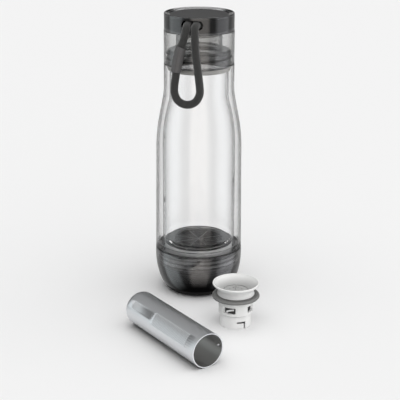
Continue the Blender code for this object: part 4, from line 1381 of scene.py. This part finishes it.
# Partly a painted highlight: the lighter colour of the mouth's ground edge.
ground_rim_highlight = solid_finish("ground_rim_highlight", (0.97, 0.98, 1.0), 0.3, 0.5 * MM, 0.003 * MM,
                          Metallic=1.0)
pin_steel, tree, shader = new_finish("pin_steel", (0.6, 0.6, 0.6), 0.3, Metallic=1.0)
tree.links.new(spread(tree, noise(tree, 0.4 * MM), 0.22, 0.4), shader.inputs["Roughness"])
print("finishes so far:", len(bpy.data.materials))

# %% Etching the tube
tube.data.materials.append(satin_metal)
tube.data.materials.append(etched_metal)
dots = choose(tube, "faces", etched)
bpy.ops.mesh.inset(thickness=ETCH_INSET, use_individual=True)
bpy.ops.transform.shrink_fatten(value=-ETCH_DEPTH)
tube.active_material_index = 1
bpy.ops.object.material_slot_assign()
leave_edit()
panel_faces = choose(tube, "faces", in_panel)
bpy.ops.mesh.inset(thickness=ETCH_INSET)
bpy.ops.transform.shrink_fatten(value=-PANEL_DEPTH)
bpy.ops.object.material_slot_assign()
leave_edit()
# Painted shade in the bore, and a painted highlight on the ground edge of the mouth.
dress(tube, bore_painted_shade, lambda face: face_radius(face) < tube_bore + WELD)
dress(tube, ground_rim_highlight, lambda face: face_height(face) > TUBE_LENGTH - TUBE_LIP)
print("etched dots:", dots, "panel faces:", panel_faces)

# %% Laying the tube down
tube.rotation_euler = (0, TURN / 4, TUBE_HEADING)
heading = Vector((math.cos(TUBE_HEADING), math.sin(TUBE_HEADING), 0))
tube.location = Vector(TUBE_MOUTH) - heading * TUBE_LENGTH
pick(tube)
bpy.ops.object.transform_apply(location=True, rotation=True, scale=True)
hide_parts("infuser_tube")
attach(tube, "infuser")
print("the tube's heading in degrees:", round(math.degrees(TUBE_HEADING), 1))

# %% [markdown]
# ## The strainer funnel
# The white funnel stands on its windowed sleeve. Every part of it is turned about its own
# upright axis and then moved to its place. Windows and slots are cut by solids that are
# themselves part of a turn.

# %% Funnel tools
FUNNEL_PLACE = (31.5 * MM, -81.8 * MM, 0)
FUNNEL_STEPS = 96
SLEEVE_PLAY = 0.3 * MM
BAYONET_WALL = 0.9 * MM
CUTTER_STEPS = 4


def arc_block(name, inner, outer, start, arc, low, height):
    """A solid sector of a ring, made by spinning its rectangular end face."""
    deselect()
    bpy.ops.mesh.primitive_plane_add(size=1)
    block = bpy.context.object
    block.name = name
    corners = [(inner, low), (outer, low), (outer, low + height), (inner, low + height)]
    order = (0, 1, 3, 2)
    for vertex, corner in zip(block.data.vertices, (corners[index] for index in order)):
        vertex.co = (corner[0] * math.cos(start), corner[0] * math.sin(start), corner[1])
    steps = max(CUTTER_STEPS, round(FUNNEL_STEPS * arc / TURN) + 1)
    bpy.ops.object.mode_set(mode="EDIT")
    bpy.ops.mesh.select_all(action="SELECT")
    bpy.ops.mesh.spin(steps=steps, angle=-arc, center=ORIGIN, axis=AXIS_UP)
    bpy.ops.mesh.select_all(action="SELECT")
    bpy.ops.mesh.normals_make_consistent(inside=False)
    leave_edit()
    return block


def place_in_funnel(piece):
    piece.location = FUNNEL_PLACE
    return piece


# %% [markdown]
# ## The bayonet sleeve
# The sleeve goes into the tube's mouth up to its step and locks on two studs with slots that
# go up and then round. Four windows above the step let the water through. Its inside and the
# groove under the step are in shade on the real one, and a darker finish keeps them so.

# %% Bayonet sleeve
BAYONET_LOWER_HEIGHT = 11.5 * MM
BAYONET_UPPER_HEIGHT = 11.2 * MM
WINDOW_BOTTOM = 13.8 * MM
WINDOW_HEIGHT = 5.4 * MM
WINDOW_ARC = math.radians(45)
WINDOW_AZIMUTH = math.radians(-24.5)
WINDOWS = 4
SLOT_WIDTH = 1.7 * MM
SLOT_HEIGHT = 6.5 * MM
SLOT_AZIMUTH = math.radians(-57)
SLOT_ARC = math.radians(29)
SLOTS = 2
BAYONET_EDGE = 0.25 * MM
STEP_GROOVE = 0.3 * MM

bayonet_r = TUBE_R - TUBE_WALL - SLEEVE_PLAY
bayonet_bore_r = bayonet_r - BAYONET_WALL
bayonet_height = BAYONET_LOWER_HEIGHT + BAYONET_UPPER_HEIGHT
bayonet = lathe("windowed_sleeve", rounded([
    (TUBE_R, bayonet_height, BAYONET_EDGE),
    (TUBE_R, BAYONET_LOWER_HEIGHT),
    (bayonet_r - STEP_GROOVE, BAYONET_LOWER_HEIGHT),
    (bayonet_r, BAYONET_LOWER_HEIGHT - 2 * STEP_GROOVE),
    (bayonet_r, 0, BAYONET_EDGE),
    (bayonet_bore_r, 0, BAYONET_EDGE),
    (bayonet_bore_r, bayonet_height, BAYONET_EDGE),
]), FUNNEL_STEPS)
inner = bayonet_bore_r - OVERRUN
outer = TUBE_R + OVERRUN
for index in range(WINDOWS):
    start = WINDOW_AZIMUTH - WINDOW_ARC / 2 + index * TURN / WINDOWS
    combine(bayonet, arc_block("window", inner, outer, start, WINDOW_ARC, WINDOW_BOTTOM,
                               WINDOW_HEIGHT), "DIFFERENCE")
leg_arc = SLOT_WIDTH / bayonet_r
for index in range(SLOTS):
    around = SLOT_AZIMUTH + index * TURN / SLOTS
    combine(bayonet, arc_block("slot_leg", inner, outer, around - leg_arc / 2, leg_arc,
                               -OVERRUN, SLOT_HEIGHT + OVERRUN), "DIFFERENCE")
    combine(bayonet, arc_block("slot_run", inner, outer, around - SLOT_ARC, SLOT_ARC,
                               SLOT_HEIGHT - SLOT_WIDTH, SLOT_WIDTH), "DIFFERENCE")
settle(place_in_funnel(bayonet), "funnel", "white_plastic", white_plastic, "bayonet_sleeve")
funnel_axis = Vector(FUNNEL_PLACE).xy
groove_z = BAYONET_LOWER_HEIGHT - 2 * STEP_GROOVE
dress(bayonet, shaded_white, lambda face: faces_axis(face, funnel_axis)
      or groove_z < face_height(face) < BAYONET_LOWER_HEIGHT + WELD)

# %% [markdown]
# ## The silicone ring
# The grey ring between the sleeve and the funnel's cup seals the bottle's mouth. Its rim is a
# round bead, drawn as an arc that stops short of its hub on both sides.

# %% Silicone ring
RING_R = 20.0 * MM
BEAD_R = 1.35 * MM
BEAD_STEPS = 20
BEAD_START = math.radians(160)
RING_HUB_R = 15.2 * MM
RING_EDGE = 0.3 * MM
SPIGOT_R = 12.2 * MM
ring_z = bottom("funnel_seal")
ring_top_z = top("funnel_seal")
bead_z = ring_top_z - BEAD_R
bead = []
for step in range(BEAD_STEPS + 1):
    angle = BEAD_START * (1 - 2 * step / BEAD_STEPS)
    bead.append((RING_R - BEAD_R + BEAD_R * math.cos(angle),
                 bead_z + BEAD_R * math.sin(angle)))
silicone_ring = lathe("silicone_ring", rounded([
    (SPIGOT_R + GAP, ring_top_z),
    (RING_HUB_R, ring_top_z, RING_EDGE),
    (RING_HUB_R, bead[0][1]),
    *bead,
    (TUBE_R, bead[-1][1]),
    (TUBE_R, ring_z),
    (SPIGOT_R + GAP, ring_z),
]), FUNNEL_STEPS)
settle(place_in_funnel(silicone_ring), "funnel", "dark_silicone", ring_silicone, "funnel_seal")

# %% [markdown]
# ## The funnel's cup
# The cup flares from its neck to a thin lip, with one cubic curve outside and another inside.
# A bowl gets less light towards its throat, and here that is painted shade: the finish of its
# inside darkens with depth, in the same way as the painted shade of the base cup.

# %% Funnel cup
CUP_CURVE_STEPS = 16
FUNNEL_HEIGHT = 10.0 * MM
FUNNEL_LIP_R = 19.55 * MM
FUNNEL_LIP = 0.9 * MM
FUNNEL_NECK_R = 15.0 * MM
FUNNEL_NECK_HEIGHT = 3.2 * MM
FUNNEL_FLARE = 0.7 * MM
FUNNEL_SEAT = 1.3 * MM
FUNNEL_THROAT_HEIGHT = 3.3 * MM
FUNNEL_BORE_R = 9.6 * MM
THROAT_LEDGE = 0.8 * MM
LIP_ROUND = 0.35 * MM
BOWL_SHADE = (0.42, 0.42, 0.42)

spigot_z = bottom("funnel")
lip_z = top("funnel")
funnel_z = lip_z - FUNNEL_HEIGHT
throat_r = FUNNEL_BORE_R + THROAT_LEDGE
neck_top_z = funnel_z + FUNNEL_NECK_HEIGHT
rise = FUNNEL_HEIGHT - FUNNEL_NECK_HEIGHT
outside = bezier((FUNNEL_LIP_R, lip_z - FUNNEL_LIP),
                 (FUNNEL_LIP_R - FUNNEL_LIP, funnel_z + rise),
                 (FUNNEL_NECK_R, neck_top_z + rise / 2), (FUNNEL_NECK_R, neck_top_z),
                 CUP_CURVE_STEPS)
brim_r = FUNNEL_LIP_R - FUNNEL_LIP
throat_z = funnel_z + FUNNEL_THROAT_HEIGHT
inside = bezier((throat_r, throat_z), (throat_r + FUNNEL_THROAT_HEIGHT, throat_z),
                (brim_r - FUNNEL_THROAT_HEIGHT, lip_z - FUNNEL_NECK_HEIGHT),
                (brim_r, lip_z), CUP_CURVE_STEPS)
funnel = lathe("white_funnel", rounded([
    (FUNNEL_LIP_R, lip_z, LIP_ROUND),
    *outside,
    (FUNNEL_NECK_R + FUNNEL_FLARE, funnel_z, LIP_ROUND),
    (SPIGOT_R, funnel_z),
    (SPIGOT_R, spigot_z),
    (FUNNEL_BORE_R, spigot_z),
    (FUNNEL_BORE_R, funnel_z + FUNNEL_SEAT),
    (throat_r, funnel_z + FUNNEL_SEAT),
    *inside,
]), FUNNEL_STEPS)
settle(place_in_funnel(funnel), "funnel", "white_plastic", white_plastic, "funnel")
# Painted shade: the inside of the bowl darkens towards the throat.
shade_by_height(bowl_white_and_shade, throat_z - GAP, lip_z - FUNNEL_NECK_HEIGHT / 2, BOWL_SHADE)
dress(funnel, bowl_white_and_shade, lambda face: faces_axis(face, funnel_axis)
      or face.normal.z > SLOPED and face_height(face) < lip_z - FUNNEL_LIP)

# %% [markdown]
# ## The strainer
# A small plate with a post in its middle lies in the throat. Its holes are drilled round the
# post by short cylinders.

# %% Strainer plate
STRAINER_POST_R = 0.6 * MM
STRAINER_THICK = 1.4 * MM
STRAINER_HOLES = 8
STRAINER_HOLE_R = 0.7 * MM
STRAINER_HOLE_SIDES = 32
POST_ROUND = 0.3 * MM

plate_z = bottom("strainer")
post_top_z = top("strainer")
plate_r = throat_r - GAP
strainer = lathe("strainer_plate", rounded([
    (0, post_top_z), (STRAINER_POST_R, post_top_z, POST_ROUND),
    (STRAINER_POST_R, plate_z + STRAINER_THICK, POST_ROUND),
    (plate_r, plate_z + STRAINER_THICK, POST_ROUND), (plate_r, plate_z, POST_ROUND),
    (0, plate_z),
]), FUNNEL_STEPS)
hole_r = (plate_r + STRAINER_POST_R) / 2
for index in range(STRAINER_HOLES):
    angle = (index + 0.5) * TURN / STRAINER_HOLES
    place = (hole_r * math.cos(angle), hole_r * math.sin(angle), plate_z + STRAINER_THICK / 2)
    deselect()
    bpy.ops.mesh.primitive_cylinder_add(vertices=STRAINER_HOLE_SIDES, radius=STRAINER_HOLE_R,
                                        depth=STRAINER_THICK + 2 * OVERRUN, location=place)
    combine(strainer, bpy.context.object, "DIFFERENCE")
# The plate's grey is painted shade for the funnel's throat.
settle(place_in_funnel(strainer), "funnel", "white_plastic", plate_white, "strainer")

# %% [markdown]
# ## Small steel parts
# The post that the cord goes round and the two studs in the tube's mouth keep the frame's own
# shapes and only get a better finish.

# %% Steel pins
for name in ("cord_post", "bayonet_pin_left", "bayonet_pin_right"):
    pin = frame["nodes"][name]
    pin.data.materials.clear()
    pin.data.materials.append(pin_steel)
    print(name, "is in", pin_steel.name)

# %% [markdown]
# ## The table
# The table is one large pale plane. In a real studio it stands on a dark floor, and the soft
# boxes reach down past its edge. So it is see-through to light that has been mirrored, and
# the boxes of the sky go on below it in every reflection.

# %% Table
FLOOR_SIZE = 60
TABLE_GREY = (0.86, 0.86, 0.86)


def clear_after(finish, depth):
    """Makes a finish see-through to light that has already been mirrored or scattered."""
    tree = finish.node_tree
    passed = tree.nodes.new("ShaderNodeLightPath").outputs[depth]
    clear = tree.nodes.new("ShaderNodeBsdfTransparent")
    either = tree.nodes.new("ShaderNodeMixShader")
    tree.links.new(passed, either.inputs["Fac"])
    tree.links.new(tree.nodes["Principled BSDF"].outputs[0], either.inputs[1])
    tree.links.new(clear.outputs[0], either.inputs[2])
    tree.links.new(either.outputs[0], tree.nodes["Material Output"].inputs["Surface"])


table_white = new_finish("table_white", TABLE_GREY, 0.9, Specular_IOR_Level=0.0)[0]
clear_after(table_white, "Glossy Depth")
deselect()
bpy.ops.mesh.primitive_plane_add(size=FLOOR_SIZE)
floor = bpy.context.object
floor.name = "table"
floor.data.materials.append(table_white)
print("table size in metres:", FLOOR_SIZE)

# %% [markdown]
# ## A strip of table for the tube
# The metal tube is the one thing whose lower side should mirror the table. A strip of table
# beside it, seen only in gloss, does that without lighting up the bottle. The small things
# in front of the bottle are kept out of its reflections, which stay clean bands of light.

# %% Strip of table
for piece in (tube, funnel, bayonet, silicone_ring, strainer):
    piece.visible_glossy = False

strip_white = new_finish("strip_white", TABLE_GREY, 0.9, Specular_IOR_Level=0.0)[0]
clear_after(strip_white, "Diffuse Depth")


def stage_for_gloss(piece, name, finish):
    """Puts a piece of the studio where only reflections show it."""
    piece.name = name
    piece.visible_camera = False
    piece.visible_diffuse = False
    piece.visible_transmission = False
    piece.visible_shadow = False
    piece.data.materials.append(finish)
    print(name, "is seen only in gloss")


STRIP_WIDTH = 90 * MM
STRIP_LENGTH = 260 * MM
STRIP_LIFT = 0.02 * MM
left_of_tube = Vector((math.sin(TUBE_HEADING), -math.cos(TUBE_HEADING), 0))
strip_middle = (Vector(TUBE_MOUTH) - heading * TUBE_LENGTH / 2
                + left_of_tube * (STRIP_WIDTH / 2 - TUBE_R / 2))
deselect()
bpy.ops.mesh.primitive_plane_add(size=1, rotation=(0, 0, TUBE_HEADING),
                                 location=(strip_middle.x, strip_middle.y, STRIP_LIFT))
strip = bpy.context.object
strip.scale = (STRIP_LENGTH, STRIP_WIDTH, 1)
stage_for_gloss(strip, "table_strip", strip_white)

# %% [markdown]
# ## A card behind the cap
# The far side of the cap's sloping rim mirrors what is behind and above the bottle. A small
# bright card there draws the pale arc that shows where the cap ends. It faces the cap and is
# small, so the rest of the bottle doesn't mirror it.

# %% Rear card
CARD_LIGHT = 1.35
CARD_WIDTH = 110 * MM
CARD_HEIGHT = 95 * MM
CARD_AWAY = 300 * MM
CARD_RISE = math.radians(42)

card_light = bpy.data.materials.new("card_light")
card_light.use_nodes = True
tree = card_light.node_tree
tree.nodes.clear()
glow = tree.nodes.new("ShaderNodeEmission")
glow.inputs["Strength"].default_value = CARD_LIGHT
tree.links.new(glow.outputs[0], tree.nodes.new("ShaderNodeOutputMaterial").inputs["Surface"])
deselect()
bpy.ops.mesh.primitive_plane_add(
    size=1, rotation=(CARD_RISE - TURN / 4, 0, 0),
    location=(0, cap_r + CARD_AWAY * math.cos(CARD_RISE),
              cap_top_z + CARD_AWAY * math.sin(CARD_RISE)))
card = bpy.context.object
card.scale = (CARD_WIDTH, CARD_HEIGHT, 1)
stage_for_gloss(card, "rear_card", card_light)

# %% [markdown]
# ## The soft boxes
# Clear and smoky plastic look like what is around them. A studio puts tall soft boxes beside
# the camera with dark gaps between them, and that is what draws the upright bands on a
# bottle. Here the boxes are part of the sky, as stops of degrees and colour round the
# compass, where 0 is the camera's side. They change with height: behind the bottle the sky is
# darkest where the seat's deck mirrors it, and high up it is one soft ceiling.

# %% Sky colours
GAP_LIGHT = (0.15, 0.15, 0.15)
LEFT_BOX = (0.92, 0.98, 1.0)
MIDDLE_BOX = (1.0, 0.95, 0.91)
RIGHT_BOX = (0.86, 0.87, 0.90)
REAR_LIGHT = (0.28, 0.28, 0.28)
BOXES = (
    (-180, REAR_LIGHT), (-116, REAR_LIGHT), (-104, LEFT_BOX), (-66, LEFT_BOX),
    (-52, GAP_LIGHT), (-32, GAP_LIGHT), (-20, MIDDLE_BOX), (26, MIDDLE_BOX),
    (38, GAP_LIGHT), (52, GAP_LIGHT), (66, RIGHT_BOX), (104, RIGHT_BOX),
    (116, REAR_LIGHT), (180, REAR_LIGHT),
)
RISING_REAR = (0.3, 0.3, 0.3)
RISING = tuple((degrees, RISING_REAR if colour == REAR_LIGHT else colour)
               for degrees, colour in BOXES)
DECK_REAR = (0.03, 0.03, 0.03)
DECK_SKY = tuple((degrees, DECK_REAR if colour == REAR_LIGHT else colour)
                 for degrees, colour in BOXES)
HIGH_REAR = (0.38, 0.38, 0.38)
HIGH_FRONT = (0.9, 0.9, 0.9)
HIGH_SKY = ((-180, HIGH_REAR), (-125, HIGH_REAR), (-90, HIGH_FRONT), (90, HIGH_FRONT),
            (125, HIGH_REAR), (180, HIGH_REAR))
LOW_DARK = 0.02
LOW_FADE = (-68, -35)
TABLE_EDGE = (-2, 2)
DECK_FADE = (12, 15)
HIGH_FADE = (24, 32)
print("stops in the boxes:", len(BOXES))

# %% [markdown]
# ## The dome
# Matt surfaces such as the table see another sky: an even dome with a wide, soft key light
# high up, and a low fill from one side that gives the shadows their direction.

# %% Dome colours
FILL_DARK = (0.05, 0.05, 0.05)
FILL_BRIGHT = (1.0, 1.0, 1.0)
FILL = ((-180, FILL_DARK), (-25, FILL_DARK), (5, FILL_BRIGHT), (120, FILL_BRIGHT),
        (150, FILL_DARK), (180, FILL_DARK))
DOME_HIGH = 0.93
DOME_FADE = (25, 60)
DOME_EDGE = (-2, 1)
KEY_LIGHT = 1.4
KEY_POWER = 6
KEY_PLACE = (-0.05, -0.1, 0.99)
BACKDROP = 0.896

# %% Sky helpers
world = bpy.data.worlds.new("studio")
bpy.context.scene.world = world
world.use_nodes = True
world.cycles.sampling_method = "NONE"
tree = world.node_tree
tree.nodes.clear()


def connect(value, socket):
    """Links a socket, or sets a plain number or grey on it."""
    if isinstance(value, (int, float)):
        grey = socket.type == "RGBA"
        socket.default_value = (value, value, value, 1) if grey else value
    else:
        tree.links.new(value, socket)


def maths(operation, *values):
    node = tree.nodes.new("ShaderNodeMath")
    node.operation = operation
    for value, socket in zip(values, node.inputs):
        connect(value, socket)
    return node.outputs[0]


def mix(factor, first, second):
    node = tree.nodes.new("ShaderNodeMix")
    node.data_type = "RGBA"
    connect(factor, node.inputs["Factor"])
    colours = [socket for socket in node.inputs if socket.type == "RGBA"]
    connect(first, colours[0])
    connect(second, colours[1])
    return next(socket for socket in node.outputs if socket.type == "RGBA")


def compass(azimuth, stops):
    """A ramp round the compass from stops of degrees and colour."""
    ramp = tree.nodes.new("ShaderNodeValToRGB")
    tree.links.new(maths("ADD", maths("DIVIDE", azimuth, TURN), 0.5), ramp.inputs["Fac"])
    elements = ramp.color_ramp.elements
    for index, (degrees, colour) in enumerate(stops):
        position = degrees / 360 + 0.5
        element = elements[index] if index < 2 else elements.new(position)
        element.position = position
        element.color = (*colour, 1)
    return ramp.outputs["Color"]


def between(value, low, high):
    """0 below one angle in degrees, 1 above another, and smooth in between."""
    node = tree.nodes.new("ShaderNodeMapRange")
    node.interpolation_type = "SMOOTHSTEP"
    node.inputs["From Min"].default_value = math.radians(low)
    node.inputs["From Max"].default_value = math.radians(high)
    tree.links.new(value, node.inputs["Value"])
    return node.outputs["Result"]


# %% [markdown]
# ## Putting the sky together
# A Light Path node tells the sky's three jobs apart. Light that was scattered sees the dome,
# light that was mirrored sees the boxes, and behind everything is the plain backdrop.

# %% Sky
direction = tree.nodes.new("ShaderNodeTexCoord").outputs["Generated"]
axes = tree.nodes.new("ShaderNodeSeparateXYZ")
tree.links.new(direction, axes.inputs[0])
azimuth = maths("ARCTAN2", axes.outputs["X"], maths("MULTIPLY", axes.outputs["Y"], -1.0))
elevation = maths("ARCSINE", axes.outputs["Z"])

low = mix(between(elevation, *LOW_FADE), LOW_DARK, compass(azimuth, BOXES))
rising = mix(between(elevation, *DECK_FADE), compass(azimuth, RISING),
             compass(azimuth, DECK_SKY))
boxes = mix(between(elevation, *TABLE_EDGE), low, rising)
gloss = mix(between(elevation, *HIGH_FADE), boxes, compass(azimuth, HIGH_SKY))

towards_key = tree.nodes.new("ShaderNodeVectorMath")
towards_key.operation = "DOT_PRODUCT"
tree.links.new(direction, towards_key.inputs[0])
towards_key.inputs[1].default_value = Vector(KEY_PLACE).normalized()
key = maths("POWER", maths("MAXIMUM", towards_key.outputs["Value"], 0.0), KEY_POWER)
dome = maths("ADD", maths("MULTIPLY", key, KEY_LIGHT),
             mix(between(elevation, *DOME_FADE), compass(azimuth, FILL), DOME_HIGH))
dome = maths("MULTIPLY", dome, between(elevation, *DOME_EDGE))

path = tree.nodes.new("ShaderNodeLightPath")
mirrored = maths("MINIMUM", path.outputs["Glossy Depth"], 1.0)
scattered = maths("MINIMUM", path.outputs["Diffuse Depth"], 1.0)
seen = mix(scattered, mix(mirrored, BACKDROP, gloss), dome)
background = tree.nodes.new("ShaderNodeBackground")
tree.links.new(seen, background.inputs["Color"])
output = tree.nodes.new("ShaderNodeOutputWorld")
tree.links.new(background.outputs[0], output.inputs["Surface"])
bpy.context.scene.view_settings.view_transform = "Standard"
print("nodes in the sky:", len(tree.nodes))
